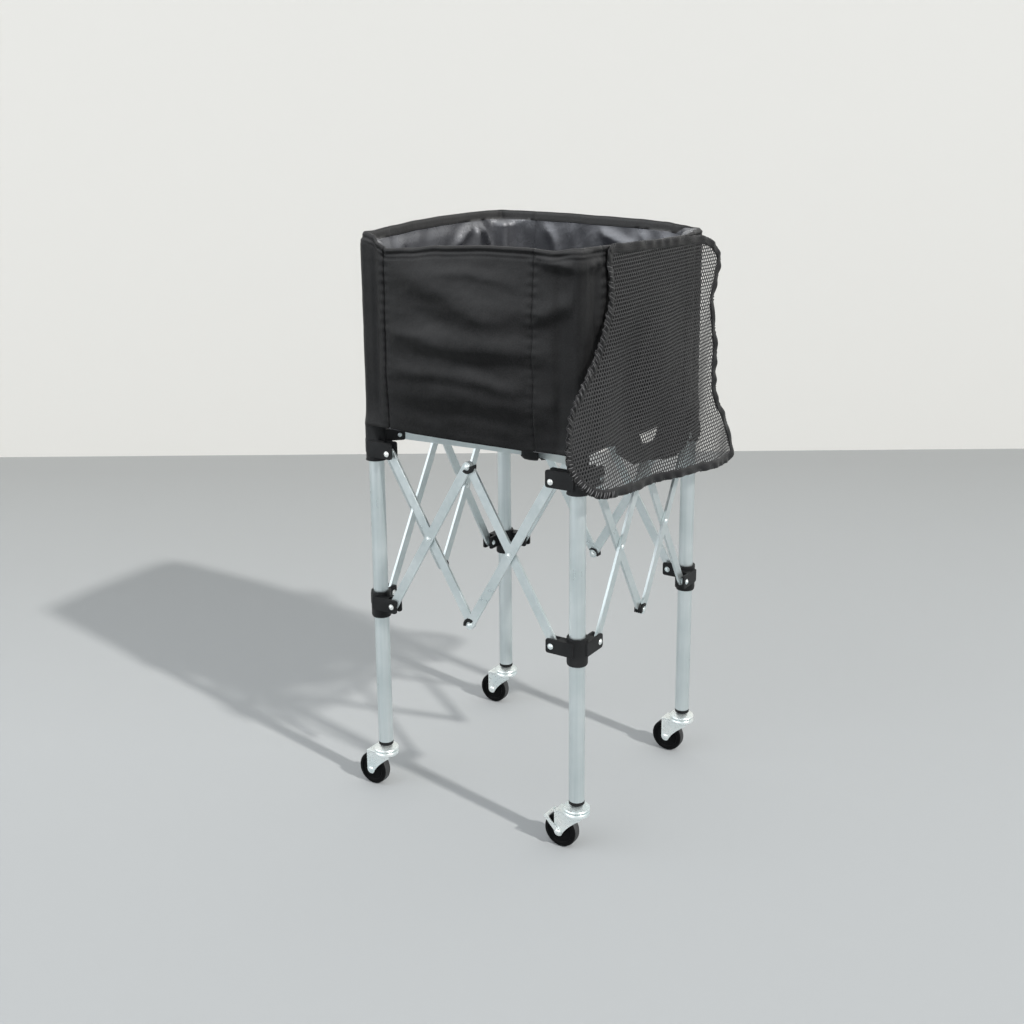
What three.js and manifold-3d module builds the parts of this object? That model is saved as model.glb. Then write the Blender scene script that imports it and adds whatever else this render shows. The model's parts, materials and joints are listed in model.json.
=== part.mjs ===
// Folding ball cart: four tube legs on swivel casters, scissor bars on all four sides,
// four braces to a centre hub, a cloth bag round the leg tops and a net cover hung on one side.
// Millimetres, +Z up. The floor is z = 0 and the origin is under the middle of the cart's box.
import * as THREE from 'three';
import { mergeVertices } from 'three/addons/utils/BufferGeometryUtils.js';
import Module from 'manifold-3d';

const wasm = await Module();
wasm.setup();

// Shared clearances
const GAP = 0.3;              // between pieces that touch or run on each other
const CUT_OVERRUN = 2;        // how far a cutter reaches past the face that it cuts

// Facets
const TUBE_SIDES = 20;
const ROUND_SIDES = 16;       // collars, races, plugs
const WHEEL_SIDES = 24;
const AXLE_SIDES = 12;
const PIN_SIDES = 6;
const CORNER_STEPS = 1;
const END_STEPS = 4;          // half of a strap's round end
const PIN_FLAT_SHARE = Math.cos(Math.PI / PIN_SIDES);

// Frame
const LEG_SPACING = 335;      // between leg axes, both ways
const HALF_SPACING = LEG_SPACING / 2;
const TUBE_RADIUS = 11.1;
const TUBE_WALL = 1.2;
const TUBE_FOOT_Z = 76.4;
const RIM_Z = 838;            // top of the bag
const TUBE_BELOW_RIM = 4;

// Scissor bars
const BAR_WIDTH = 13.5;
const BAR_THICKNESS = 4;
const SIDE_PIVOT_REACH = 32;  // from a leg's axis to its side pivots
const UPPER_PIVOT_Z = 535;
const LOWER_PIVOT_Z = 304;
const BAR_RUN = HALF_SPACING - SIDE_PIVOT_REACH;
const BAR_RISE = UPPER_PIVOT_Z - LOWER_PIVOT_Z;

// Clevis lugs, measured outward from the plane through the leg axes
const CHEEK_INNER_FACE = 1.8;
const CHEEK_THICKNESS = 3.3;
const LAYER_INNER = CHEEK_INNER_FACE + CHEEK_THICKNESS + GAP;
const LAYER_OUTER = LAYER_INNER + BAR_THICKNESS + GAP;
const SLOT_END = LAYER_OUTER + BAR_THICKNESS + GAP;
const CHEEK_OUTER_FACE = SLOT_END + CHEEK_THICKNESS;
const LUG_TIP = 8;            // cheek beyond its pivot
const LUG_CORNER = 3;
const SLOT_BEHIND_PIVOT = 9;  // room for a bar's round end

// Rivets
const RIVET_RADIUS = 2.2;
const RIVET_HEAD_RADIUS = 3.6;
const RIVET_HEAD_HEIGHT = 1.3;
const SPACER_RADIUS = 4.6;
const PIVOT_HOLE_RADIUS = (RIVET_RADIUS + GAP) / PIN_FLAT_SHARE;

// Upper bracket, fixed on the tube
const COLLAR_RADIUS = 14.7;
const COLLAR_BORE = TUBE_RADIUS + GAP;
const UPPER_COLLAR_BOTTOM = 520;
const UPPER_COLLAR_TOP = 572;
const COLLAR_FLARE = 1;
const COLLAR_FLARE_HEIGHT = 3;
const UPPER_LUG_BELOW = 8;
const UPPER_LUG_ABOVE = 16;

// Slider, free on the tube
const SLIDER_BOTTOM = 279.5;
const SLIDER_TOP = 319.5;
const SLIDER_BORE = TUBE_RADIUS + 2 * GAP;
const SLIDER_LUG_BELOW = 10;
const SLIDER_LUG_ABOVE = 10.5;

// Diagonal braces and hub
const BRACE_PIVOT_REACH = 34;    // from a leg's axis, along the diagonal
const BRACE_PIVOT_Z = 555;
const BRACE_WIDTH = 13;
const BRACE_THICKNESS = 4;
const BRACE_CHEEK = 3.6;
const BRACE_LUG_BELOW = 8;
const BRACE_LUG_ABOVE = 8.5;
const HUB_PIVOT_RADIUS = 17;
const HUB_PIVOT_Z = 518;
const HUB_RADIUS = 24;
const HUB_BOTTOM = 507;
const HUB_TOP = 530;
const HUB_ROOF = 3;
const HUB_CORE_RADIUS = 9.6;
const HUB_CHAMFER = 3;

// Leg foot plug and caster
const PLUG_FLANGE = 4.9;
const PLUG_DEPTH = 22;
const PLUG_LIP = 0.6;
const STEM_RADIUS = 5;
const STEM_HEIGHT = 17;
const WHEEL_RADIUS = 25;
const WHEEL_WIDTH = 16;
const WHEEL_BEVEL = 3;
const WHEEL_RECESS = 1.6;
const WHEEL_RIM_WIDTH = 6;
const AXLE_RADIUS = 3;
const AXLE_HEAD_RADIUS = 4.4;
const AXLE_HEAD = 1.6;
const CASTER_TRAIL = 23.3;
const FORK_SIDE_GAP = 0.8;
const FORK_PLATE = 2;
const FORK_BOSS_RADIUS = 7;
const FORK_REAR_OVERHANG = 7;    // plate corner behind the axle
const FORK_FRONT = 12;           // plate corner ahead of the swivel
const FORK_FRONT_EDGE = 36;      // degrees, from level to where the slanting edge leaves the boss
const FORK_TOP_Z = 57;
const FORK_CROWN = 3;
const CROWN_INSET = 0.5;         // the plates' bent edge, round the crown
const FORK_SKIRT_Z = 52;
const RACE_RADIUS = 18.8;
const RACE_NECK = 15;
const RACE_LOWER_BOTTOM = 55.2;
const RACE_LOWER_TOP = 61;
const RACE_GROOVE_TOP = 62.6;
const RACE_SHOULDER_Z = 66;
const RACE_UPPER_TOP = 70.4;

// Brake lever on the front caster
const LEVER_PLATE = 1.7;
const LEVER_WIDTH = 6.5;
const LEVER_REACH = 37;          // from the axle to the pedal's far edge
const LEVER_PEDAL = 7;
const LEVER_ANGLE = 135;         // degrees, from straight ahead
const LEVER_EYE_RADIUS = 5.6;

// Bag
const CLOTH_OUTSIDE = 15;        // outer face, outward from the leg plane
const CLOTH_THICKNESS = 2.4;
const SLEEVE_INSIDE = 14.5;
const SLEEVE_CORNER = 6;
const BAG_BOTTOM = 571;
const FLOOR_THICKNESS = 2;
const FLOOR_RISE_AT_BRACE = 0.4; // above a brace's upper edge
const FLOOR_LEG_NOTCH = 20;      // from the leg's axis, both ways
const FLOOR_EDGE_GAP = 0.8;

// Net cover, hung from the rim on one side
const COVER_THICKNESS = 2.4;
const COVER_HINGE_ABOVE_RIM = 2.6;
const COVER_LEAN = 5.5;          // degrees, outward at the foot
const COVER_DROP = 360;
const COVER_HALF_WIDTH = 245;
const COVER_SHIFT = -15;         // of its middle, along the side
const COVER_BORDER = 12;
const NET_PITCH = 36;
const NET_STRAND = 7;
const COVER_TOP_GAP = 1;
const COVER_CURVE_STEPS = 3;

// Finishes
const finish = (color, roughness, metalness) => new THREE.MeshStandardMaterial({ color, roughness, metalness });
const silverTube = finish(0xb4bfbf, 0.38, 0.55);
const zincPlate = finish(0xc3cccb, 0.3, 0.8);
const blackPlastic = finish(0x151617, 0.45, 0);
const blackRubber = finish(0x101011, 0.55, 0);
const blackCloth = finish(0x1b1b1c, 0.9, 0);
const blackNet = finish(0x2a2a2b, 0.9, 0);

// Solids

function solid(geometry) {
  const bare = geometry.clone();
  bare.deleteAttribute('normal');
  bare.deleteAttribute('uv');
  const merged = mergeVertices(bare);
  return new wasm.Manifold(new wasm.Mesh({
    numProp: 3,
    vertProperties: new Float32Array(merged.attributes.position.array),
    triVerts: new Uint32Array(merged.index.array),
  }));
}

function geometryOf(manifold) {
  const mesh = manifold.getMesh();
  const geometry = new THREE.BufferGeometry();
  geometry.setAttribute('position', new THREE.BufferAttribute(mesh.vertProperties.slice(), 3));
  geometry.setIndex(new THREE.BufferAttribute(mesh.triVerts.slice(), 1));
  const faceted = geometry.toNonIndexed();
  faceted.computeVertexNormals();
  return faceted;
}

const join = (...solids) => solids.reduce((whole, piece) => whole.add(piece));
const cut = (body, ...cutters) => cutters.reduce((rest, cutter) => rest.subtract(cutter), body);

function block(low, high) {
  const size = low.map((value, axis) => high[axis] - value);
  const middle = low.map((value, axis) => (high[axis] + value) / 2);
  return solid(new THREE.BoxGeometry(...size).translate(...middle));
}

// A round bar along local Z from one height to another.
function rod(radius, from, to, sides = PIN_SIDES) {
  const geometry = new THREE.CylinderGeometry(radius, radius, to - from, sides);
  return solid(geometry.rotateX(Math.PI / 2).translate(0, 0, (from + to) / 2));
}

// A solid of revolution about Z from [radius, height] points, which start and end on the axis or close.
function turned(profile, sides = ROUND_SIDES) {
  const points = profile.map(([radius, height]) => new THREE.Vector2(radius, height));
  return solid(new THREE.LatheGeometry(points, sides).rotateX(Math.PI / 2));
}

const extruded = (shape, depth, curveSegments = END_STEPS) =>
  solid(new THREE.ExtrudeGeometry(shape, { depth, bevelEnabled: false, curveSegments }));

// An outline with round ends, centred on two points of a plane.
function strap(from, to, width) {
  const radius = width / 2;
  const angle = Math.atan2(to[1] - from[1], to[0] - from[0]);
  const shape = new THREE.Shape();
  shape.absarc(to[0], to[1], radius, angle - Math.PI / 2, angle + Math.PI / 2);
  shape.absarc(from[0], from[1], radius, angle + Math.PI / 2, angle + 3 * Math.PI / 2);
  shape.closePath();
  return shape;
}

function roundedRectangle(left, bottom, right, top, radius) {
  const shape = new THREE.Shape();
  shape.absarc(right - radius, bottom + radius, radius, -Math.PI / 2, 0);
  shape.absarc(right - radius, top - radius, radius, 0, Math.PI / 2);
  shape.absarc(left + radius, top - radius, radius, Math.PI / 2, Math.PI);
  shape.absarc(left + radius, bottom + radius, radius, Math.PI, 3 * Math.PI / 2);
  shape.closePath();
  return shape;
}

// A rivet along local Z whose heads sit on the two given heights.
function rivet(x, y, from, to) {
  return turned([
    [0, from - RIVET_HEAD_HEIGHT], [RIVET_HEAD_RADIUS, from], [RIVET_RADIUS, from], [RIVET_RADIUS, to],
    [RIVET_HEAD_RADIUS, to], [0, to + RIVET_HEAD_HEIGHT],
  ], PIN_SIDES).translate([x, y, 0]);
}

const cart = new THREE.Group();

function place(group, name, geometry, material) {
  const mesh = new THREE.Mesh(geometry, material);
  mesh.name = name;
  group.add(mesh);
  return mesh;
}

// One side of one leg is drawn in a plane of its own: local X runs along the side, local Y is up
// and local Z points outward. The side's middle is towards +X for way = 1 and -X for way = -1.

const pivotsOf = (way) => ({
  upper: [way * SIDE_PIVOT_REACH, UPPER_PIVOT_Z],
  lower: [way * SIDE_PIVOT_REACH, LOWER_PIVOT_Z],
  middleTop: [way * HALF_SPACING, UPPER_PIVOT_Z],
  middleFoot: [way * HALF_SPACING, LOWER_PIVOT_Z],
  crossing: [way * (SIDE_PIVOT_REACH + BAR_RUN / 2), (UPPER_PIVOT_Z + LOWER_PIVOT_Z) / 2],
});

const barPlate = (from, to, layer) => extruded(strap(from, to, BAR_WIDTH), BAR_THICKNESS).translate([0, 0, layer]);

// The rivet and spacer that hold a bar's end between the cheeks of its lug.
function clevisPin([x, y], layer) {
  const pin = rivet(x, y, CHEEK_INNER_FACE - GAP, CHEEK_OUTER_FACE + GAP);
  const spacer = layer === LAYER_INNER
    ? rod(SPACER_RADIUS, LAYER_INNER, SLOT_END - GAP)
    : rod(SPACER_RADIUS, LAYER_INNER, LAYER_OUTER);
  return join(pin, spacer.translate([x, y, 0]));
}

// The rivet through both bars where they cross. It belongs to the bar that hangs from the upper bracket.
function crossingRivet([x, y], layer) {
  const inner = layer === LAYER_INNER;
  const from = inner ? LAYER_INNER : LAYER_INNER - GAP;
  const to = inner ? LAYER_OUTER + BAR_THICKNESS + GAP : LAYER_OUTER + BAR_THICKNESS;
  return rivet(x, y, from, to);
}

// The head that shows on a bar's free end, on the face that looks away from the other layer.
function endHead([x, y], layer) {
  const face = layer === LAYER_INNER ? layer : layer + BAR_THICKNESS;
  const out = layer === LAYER_INNER ? -1 : 1;
  const low = Math.min(face - out * GAP, face + out * RIVET_HEAD_HEIGHT);
  const high = Math.max(face - out * GAP, face + out * RIVET_HEAD_HEIGHT);
  return rod(RIVET_HEAD_RADIUS, low, high).translate([x, y, 0]);
}

function upperBar(way, layer) {
  const { upper, middleFoot, crossing } = pivotsOf(way);
  return join(
    barPlate(upper, middleFoot, layer),
    clevisPin(upper, layer),
    crossingRivet(crossing, layer),
    endHead(middleFoot, layer),
  );
}

function sliderBar(way, layer) {
  const { lower, middleTop, crossing } = pivotsOf(way);
  const hole = rod(PIVOT_HOLE_RADIUS, layer - CUT_OVERRUN, layer + BAR_THICKNESS + CUT_OVERRUN);
  const plate = cut(barPlate(lower, middleTop, layer), hole.translate([...crossing, 0]));
  return join(plate, clevisPin(lower, layer), endHead(middleTop, layer));
}

// A two-cheek lug on a side plane, from the leg's axis to past its pivot.
function sideLug(way, pivotZ, below, above) {
  const tip = SIDE_PIVOT_REACH + LUG_TIP;
  const [left, right] = way > 0 ? [-LUG_CORNER, tip] : [-tip, LUG_CORNER];
  const outline = roundedRectangle(left, pivotZ - below, right, pivotZ + above, LUG_CORNER);
  const body = extruded(outline, CHEEK_OUTER_FACE - CHEEK_INNER_FACE, CORNER_STEPS).translate([0, 0, CHEEK_INNER_FACE]);
  const root = SIDE_PIVOT_REACH - SLOT_BEHIND_PIVOT;
  const [slotLeft, slotRight] = way > 0 ? [root, tip + CUT_OVERRUN] : [-tip - CUT_OVERRUN, -root];
  const slot = block(
    [slotLeft, pivotZ - below - CUT_OVERRUN, LAYER_INNER - GAP],
    [slotRight, pivotZ + above + CUT_OVERRUN, SLOT_END],
  );
  const hole = rod(PIVOT_HOLE_RADIUS, CHEEK_INNER_FACE - CUT_OVERRUN, CHEEK_OUTER_FACE + CUT_OVERRUN);
  return cut(body, slot, hole.translate([way * SIDE_PIVOT_REACH, pivotZ, 0]));
}

// Turns a solid from a side plane into the leg's own frame, where the sides run along +X and +Y.
const ontoSide = (shape, way) => (way > 0 ? shape.rotate([90, 0, 0]) : shape.rotate([90, 0, 0]).rotate([0, 0, -90]));

const braceLength = Math.hypot(HALF_SPACING * Math.SQRT2 - BRACE_PIVOT_REACH - HUB_PIVOT_RADIUS,
  BRACE_PIVOT_Z - HUB_PIVOT_Z);
const braceSlope = Math.asin((BRACE_PIVOT_Z - HUB_PIVOT_Z) / braceLength);
const BRACE_SLOT_HALF = BRACE_THICKNESS / 2 + GAP;
const BRACE_LUG_HALF = BRACE_SLOT_HALF + BRACE_CHEEK;

// The lug for the brace, drawn with local X along the diagonal, Y up and Z across.
function braceLug() {
  const tip = BRACE_PIVOT_REACH + LUG_TIP;
  const outline = roundedRectangle(-LUG_CORNER, BRACE_PIVOT_Z - BRACE_LUG_BELOW, tip,
    BRACE_PIVOT_Z + BRACE_LUG_ABOVE, LUG_CORNER);
  const body = extruded(outline, 2 * BRACE_LUG_HALF, CORNER_STEPS).translate([0, 0, -BRACE_LUG_HALF]);
  const slot = block(
    [BRACE_PIVOT_REACH - SLOT_BEHIND_PIVOT, BRACE_PIVOT_Z - BRACE_LUG_BELOW - CUT_OVERRUN, -BRACE_SLOT_HALF],
    [tip + CUT_OVERRUN, BRACE_PIVOT_Z + BRACE_LUG_ABOVE + CUT_OVERRUN, BRACE_SLOT_HALF],
  );
  const hole = rod(PIVOT_HOLE_RADIUS, -BRACE_LUG_HALF - CUT_OVERRUN, BRACE_LUG_HALF + CUT_OVERRUN);
  return cut(body, slot, hole.translate([BRACE_PIVOT_REACH, BRACE_PIVOT_Z, 0])).rotate([90, 0, 0]).rotate([0, 0, 45]);
}

function upperBracket() {
  const collar = turned([
    [0, UPPER_COLLAR_BOTTOM], [COLLAR_RADIUS + COLLAR_FLARE, UPPER_COLLAR_BOTTOM],
    [COLLAR_RADIUS, UPPER_COLLAR_BOTTOM + COLLAR_FLARE_HEIGHT],
    [COLLAR_RADIUS, UPPER_COLLAR_TOP], [0, UPPER_COLLAR_TOP],
  ]);
  const lugs = [1, -1].map((way) => ontoSide(sideLug(way, UPPER_PIVOT_Z, UPPER_LUG_BELOW, UPPER_LUG_ABOVE), way));
  const bore = rod(COLLAR_BORE, UPPER_COLLAR_BOTTOM - CUT_OVERRUN, UPPER_COLLAR_TOP + CUT_OVERRUN, ROUND_SIDES);
  return cut(join(collar, ...lugs, braceLug()), bore);
}

function slider() {
  const collar = turned([
    [0, SLIDER_BOTTOM], [COLLAR_RADIUS - COLLAR_FLARE, SLIDER_BOTTOM],
    [COLLAR_RADIUS, SLIDER_BOTTOM + COLLAR_FLARE_HEIGHT], [COLLAR_RADIUS, SLIDER_TOP], [0, SLIDER_TOP],
  ]);
  const lugs = [1, -1].map((way) => ontoSide(sideLug(way, LOWER_PIVOT_Z, SLIDER_LUG_BELOW, SLIDER_LUG_ABOVE), way));
  const bore = rod(SLIDER_BORE, SLIDER_BOTTOM - CUT_OVERRUN, SLIDER_TOP + CUT_OVERRUN, ROUND_SIDES);
  return cut(join(collar, ...lugs), bore);
}

// Hub and braces, drawn with local X along the diagonal, Y up and Z across.

function brace() {
  const far = HALF_SPACING * Math.SQRT2 - BRACE_PIVOT_REACH;
  const plate = extruded(strap([HUB_PIVOT_RADIUS, HUB_PIVOT_Z], [far, BRACE_PIVOT_Z], BRACE_WIDTH), BRACE_THICKNESS)
    .translate([0, 0, -BRACE_THICKNESS / 2]);
  const headFace = BRACE_LUG_HALF + GAP;
  const outerPin = rivet(far, BRACE_PIVOT_Z, -headFace, headFace);
  const hubPin = rod(RIVET_RADIUS, -BRACE_LUG_HALF, BRACE_LUG_HALF)
    .translate([HUB_PIVOT_RADIUS, HUB_PIVOT_Z, 0]);
  return join(plate, outerPin, hubPin).rotate([90, 0, 0]);
}

function centreHub() {
  const body = turned([
    [0, HUB_BOTTOM], [HUB_RADIUS - HUB_CHAMFER, HUB_BOTTOM], [HUB_RADIUS, HUB_BOTTOM + HUB_CHAMFER],
    [HUB_RADIUS, HUB_TOP - HUB_ROOF], [HUB_RADIUS - HUB_CHAMFER, HUB_TOP], [0, HUB_TOP],
  ]);
  const slot = block([HUB_CORE_RADIUS, -BRACE_SLOT_HALF, HUB_BOTTOM - CUT_OVERRUN],
    [HUB_RADIUS + CUT_OVERRUN, BRACE_SLOT_HALF, HUB_TOP - HUB_ROOF]);
  const pinHalf = BRACE_LUG_HALF + GAP;
  const pinHole = rod(PIVOT_HOLE_RADIUS, -pinHalf, pinHalf).rotate([90, 0, 0])
    .translate([HUB_PIVOT_RADIUS, 0, HUB_PIVOT_Z]);
  const quarters = [0, 90, 180, 270];
  return cut(body, ...quarters.flatMap((turn) => [slot.rotate([0, 0, turn]), pinHole.rotate([0, 0, turn])]))
    .rotate([0, 0, 45]);
}

// Leg tube and foot plug

function legTube() {
  const ring = new THREE.Shape();
  ring.absarc(0, 0, TUBE_RADIUS, 0, 2 * Math.PI);
  const bore = new THREE.Path();
  bore.absarc(0, 0, TUBE_RADIUS - TUBE_WALL, 0, 2 * Math.PI);
  ring.holes.push(bore);
  return extruded(ring, RIM_Z - TUBE_BELOW_RIM - TUBE_FOOT_Z, TUBE_SIDES / 2).translate([0, 0, TUBE_FOOT_Z]);
}

function footPlug() {
  const bottom = TUBE_FOOT_Z - GAP - PLUG_FLANGE;
  const inside = TUBE_RADIUS - TUBE_WALL - GAP;
  const bore = STEM_RADIUS + GAP;
  return turned([
    [bore, bottom], [TUBE_RADIUS - PLUG_LIP, bottom], [TUBE_RADIUS, bottom + PLUG_FLANGE],
    [inside, bottom + PLUG_FLANGE],
    [inside, TUBE_FOOT_Z + PLUG_DEPTH], [bore, TUBE_FOOT_Z + PLUG_DEPTH], [bore, bottom],
  ]);
}

// Caster: local X points ahead, the swivel axis is local Z and the axle is behind it.

const forkInside = WHEEL_WIDTH / 2 + FORK_SIDE_GAP;
const forkOutside = forkInside + FORK_PLATE;

function forkPlate() {
  const shape = new THREE.Shape();
  const top = FORK_TOP_Z - CROWN_INSET;
  shape.moveTo(-CASTER_TRAIL - FORK_REAR_OVERHANG, top);
  shape.lineTo(-CASTER_TRAIL - FORK_BOSS_RADIUS, WHEEL_RADIUS);
  const frontEdge = THREE.MathUtils.degToRad(FORK_FRONT_EDGE);
  shape.absarc(-CASTER_TRAIL, WHEEL_RADIUS, FORK_BOSS_RADIUS, Math.PI, 2 * Math.PI - frontEdge);
  shape.lineTo(FORK_FRONT, FORK_SKIRT_Z);
  shape.lineTo(FORK_FRONT, top);
  shape.closePath();
  return extruded(shape, FORK_PLATE, PIN_SIDES / 2).rotate([90, 0, 0]);
}

function casterFork(axleHeadFace) {
  const races = turned([
    [0, RACE_LOWER_BOTTOM], [RACE_RADIUS, RACE_LOWER_BOTTOM], [RACE_RADIUS, RACE_LOWER_TOP],
    [RACE_NECK, RACE_LOWER_TOP], [RACE_NECK, RACE_GROOVE_TOP], [RACE_RADIUS, RACE_GROOVE_TOP],
    [RACE_RADIUS, RACE_SHOULDER_Z], [STEM_RADIUS, RACE_UPPER_TOP],
    [STEM_RADIUS, TUBE_FOOT_Z + STEM_HEIGHT], [0, TUBE_FOOT_Z + STEM_HEIGHT],
  ]);
  const crownHalf = forkInside + FORK_PLATE / 2;
  const crown = block([-CASTER_TRAIL - FORK_REAR_OVERHANG + CROWN_INSET, -crownHalf, FORK_TOP_Z - FORK_CROWN],
    [FORK_FRONT - CROWN_INSET, crownHalf, FORK_TOP_Z]);
  const near = forkPlate().translate([0, -forkInside, 0]);
  const far = forkPlate().translate([0, forkOutside, 0]);
  const axle = rod(AXLE_RADIUS, -axleHeadFace, axleHeadFace, AXLE_SIDES).rotate([90, 0, 0]);
  const head = (side) => rod(AXLE_HEAD_RADIUS, axleHeadFace, axleHeadFace + AXLE_HEAD, AXLE_SIDES)
    .rotate([side * 90, 0, 0]);
  const pin = join(axle, head(1), head(-1)).translate([-CASTER_TRAIL, 0, WHEEL_RADIUS]);
  return join(races, crown, near, far, pin);
}

// One of the tread's facets lies flat on the floor.
function casterWheel() {
  const half = WHEEL_WIDTH / 2;
  const bore = AXLE_RADIUS + GAP;
  const rimInner = WHEEL_RADIUS - WHEEL_RIM_WIDTH;
  const tread = WHEEL_RADIUS / Math.cos(Math.PI / WHEEL_SIDES);
  return turned([
    [bore, -half], [rimInner, -half + WHEEL_RECESS], [rimInner, -half], [tread - WHEEL_BEVEL, -half],
    [tread, -half + WHEEL_BEVEL], [tread, half - WHEEL_BEVEL], [tread - WHEEL_BEVEL, half],
    [rimInner, half], [rimInner, half - WHEEL_RECESS], [bore, half], [bore, -half],
  ], WHEEL_SIDES).rotate([0, 0, 180 / WHEEL_SIDES]).rotate([90, 0, 0]).translate([-CASTER_TRAIL, 0, WHEEL_RADIUS]);
}

const leverFace = forkOutside + GAP;

// A strap bent into a U round the wheel's back, hung on the axle outside the fork.
function brakeLever() {
  const outside = leverFace + LEVER_PLATE;
  const arm = cut(join(
    extruded(strap([0, 0], [LEVER_REACH - LEVER_WIDTH / 2, 0], LEVER_WIDTH), LEVER_PLATE),
    rod(LEVER_EYE_RADIUS, 0, LEVER_PLATE, AXLE_SIDES),
  ), rod(AXLE_RADIUS + GAP, -CUT_OVERRUN, LEVER_PLATE + CUT_OVERRUN, AXLE_SIDES)).rotate([90, 0, 0]);
  const pedal = block([LEVER_REACH - LEVER_PEDAL, -outside, -LEVER_PLATE / 2],
    [LEVER_REACH, outside, LEVER_PLATE / 2]);
  return join(arm.translate([0, -leverFace, 0]), arm.translate([0, outside, 0]), pedal)
    .rotate([0, -LEVER_ANGLE, 0]).translate([-CASTER_TRAIL, 0, WHEEL_RADIUS]);
}

// Bag

function cornerSleeve() {
  const shape = roundedRectangle(-CLOTH_OUTSIDE, -CLOTH_OUTSIDE, SLEEVE_INSIDE, SLEEVE_INSIDE, SLEEVE_CORNER);
  const hollow = roundedRectangle(-CLOTH_OUTSIDE + CLOTH_THICKNESS, -CLOTH_OUTSIDE + CLOTH_THICKNESS,
    SLEEVE_INSIDE - CLOTH_THICKNESS, SLEEVE_INSIDE - CLOTH_THICKNESS, SLEEVE_CORNER - CLOTH_THICKNESS);
  const bottom = UPPER_COLLAR_TOP + GAP;
  const body = extruded(shape, RIM_Z - bottom, CORNER_STEPS).translate([0, 0, bottom]);
  const inside = extruded(hollow, RIM_Z - CLOTH_THICKNESS - bottom + CUT_OVERRUN, CORNER_STEPS)
    .translate([0, 0, bottom - CUT_OVERRUN]);
  return cut(body, inside);
}

const bagWall = () => block(
  [SLEEVE_INSIDE + GAP, -CLOTH_OUTSIDE, BAG_BOTTOM],
  [LEG_SPACING - SLEEVE_INSIDE - GAP, -CLOTH_OUTSIDE + CLOTH_THICKNESS, RIM_Z],
);

// A quarter of the bag's floor. It lies on a brace as a shallow valley from the hub to a corner,
// and its outer edges meet the walls.
function floorQuarter() {
  const perRadius = Math.tan(braceSlope);
  const start = HUB_PIVOT_Z - HUB_PIVOT_RADIUS * perRadius + BRACE_WIDTH / 2 / Math.cos(braceSlope)
    + FLOOR_RISE_AT_BRACE;
  const edge = HALF_SPACING + CLOTH_OUTSIDE - CLOTH_THICKNESS - FLOOR_EDGE_GAP;
  const heightAt = (x, y) => start + perRadius * Math.SQRT2 * Math.max(x, y);
  const inner = (HUB_RADIUS + FLOOR_EDGE_GAP) / Math.cos(Math.PI / 8);
  const seam = FLOOR_EDGE_GAP / 2;
  const notch = HALF_SPACING - FLOOR_LEG_NOTCH;
  const lugTip = HALF_SPACING - (BRACE_PIVOT_REACH + LUG_TIP + FLOOR_EDGE_GAP) * Math.SQRT1_2;
  const lugSide = (BRACE_LUG_HALF + FLOOR_EDGE_GAP) * Math.SQRT1_2;
  const across = inner * Math.SQRT1_2;
  const half = [
    [inner, seam], [edge, seam], [edge, notch], [notch + 2 * lugSide, notch],
    [lugTip + lugSide, lugTip - lugSide], [lugTip, lugTip], [across, across],
  ];
  const wedge = (outline) => {
    const bottom = outline.map(([x, y]) => [x, y, heightAt(x, y)]);
    return prism(bottom, FLOOR_THICKNESS);
  };
  const mirrored = half.map(([x, y]) => [y, x]).reverse();
  return join(wedge(half), wedge(mirrored));
}

// A closed prism over a flat outline that runs anticlockwise seen from above.
function prism(bottom, thickness) {
  const count = bottom.length;
  const corners = [...bottom, ...bottom.map(([x, y, z]) => [x, y, z + thickness])];
  const faces = [];
  for (let i = 1; i < count - 1; i += 1) {
    faces.push(0, i + 1, i, count, count + i, count + i + 1);
  }
  for (let i = 0; i < count; i += 1) {
    const next = (i + 1) % count;
    faces.push(i, next, count + next, i, count + next, count + i);
  }
  const geometry = new THREE.BufferGeometry();
  geometry.setAttribute('position', new THREE.Float32BufferAttribute(corners.flat(), 3));
  geometry.setIndex(faces);
  return solid(geometry);
}

// Net cover, drawn flat: local X along the side, local Y down from the hinge.
// The outline's shares are of half the width and of the drop, from the top edge clockwise.
const coverOutlineShares = [
  [-0.45, 0], [0.68, 0], [0.89, 0.13], [0.8, 0.3], [0.84, 0.5], [0.77, 0.7], [0.97, 0.9], [1, 0.97], [0.95, 1],
  [0.5, 0.965], [-0.28, 0.91], [-0.74, 0.85], [-0.95, 0.76], [-1, 0.64], [-0.95, 0.53], [-0.78, 0.44],
  [-0.6, 0.34], [-0.46, 0.18],
];

// The sewn top edge stays straight and a smooth curve takes in the rest.
function coverShape() {
  const points = coverOutlineShares.map(([x, y]) =>
    new THREE.Vector2(COVER_SHIFT + x * COVER_HALF_WIDTH, COVER_TOP_GAP + y * (COVER_DROP - COVER_TOP_GAP)));
  const loose = [...points.slice(1), points[0]];
  const smooth = new THREE.SplineCurve(loose).getPoints(COVER_CURVE_STEPS * loose.length);
  return { shape: new THREE.Shape(smooth), outline: smooth };
}

function distanceInside(x, y, outline) {
  let inside = false;
  let nearest = Infinity;
  outline.forEach((from, i) => {
    const to = outline[(i + 1) % outline.length];
    if ((from.y > y) !== (to.y > y) && x < from.x + (to.x - from.x) * (y - from.y) / (to.y - from.y)) inside = !inside;
    const run = new THREE.Vector2().subVectors(to, from);
    const length = run.lengthSq();
    const share = length ? THREE.MathUtils.clamp(((x - from.x) * run.x + (y - from.y) * run.y) / length, 0, 1) : 0;
    nearest = Math.min(nearest, Math.hypot(x - from.x - share * run.x, y - from.y - share * run.y));
  });
  return inside ? nearest : -nearest;
}

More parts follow.
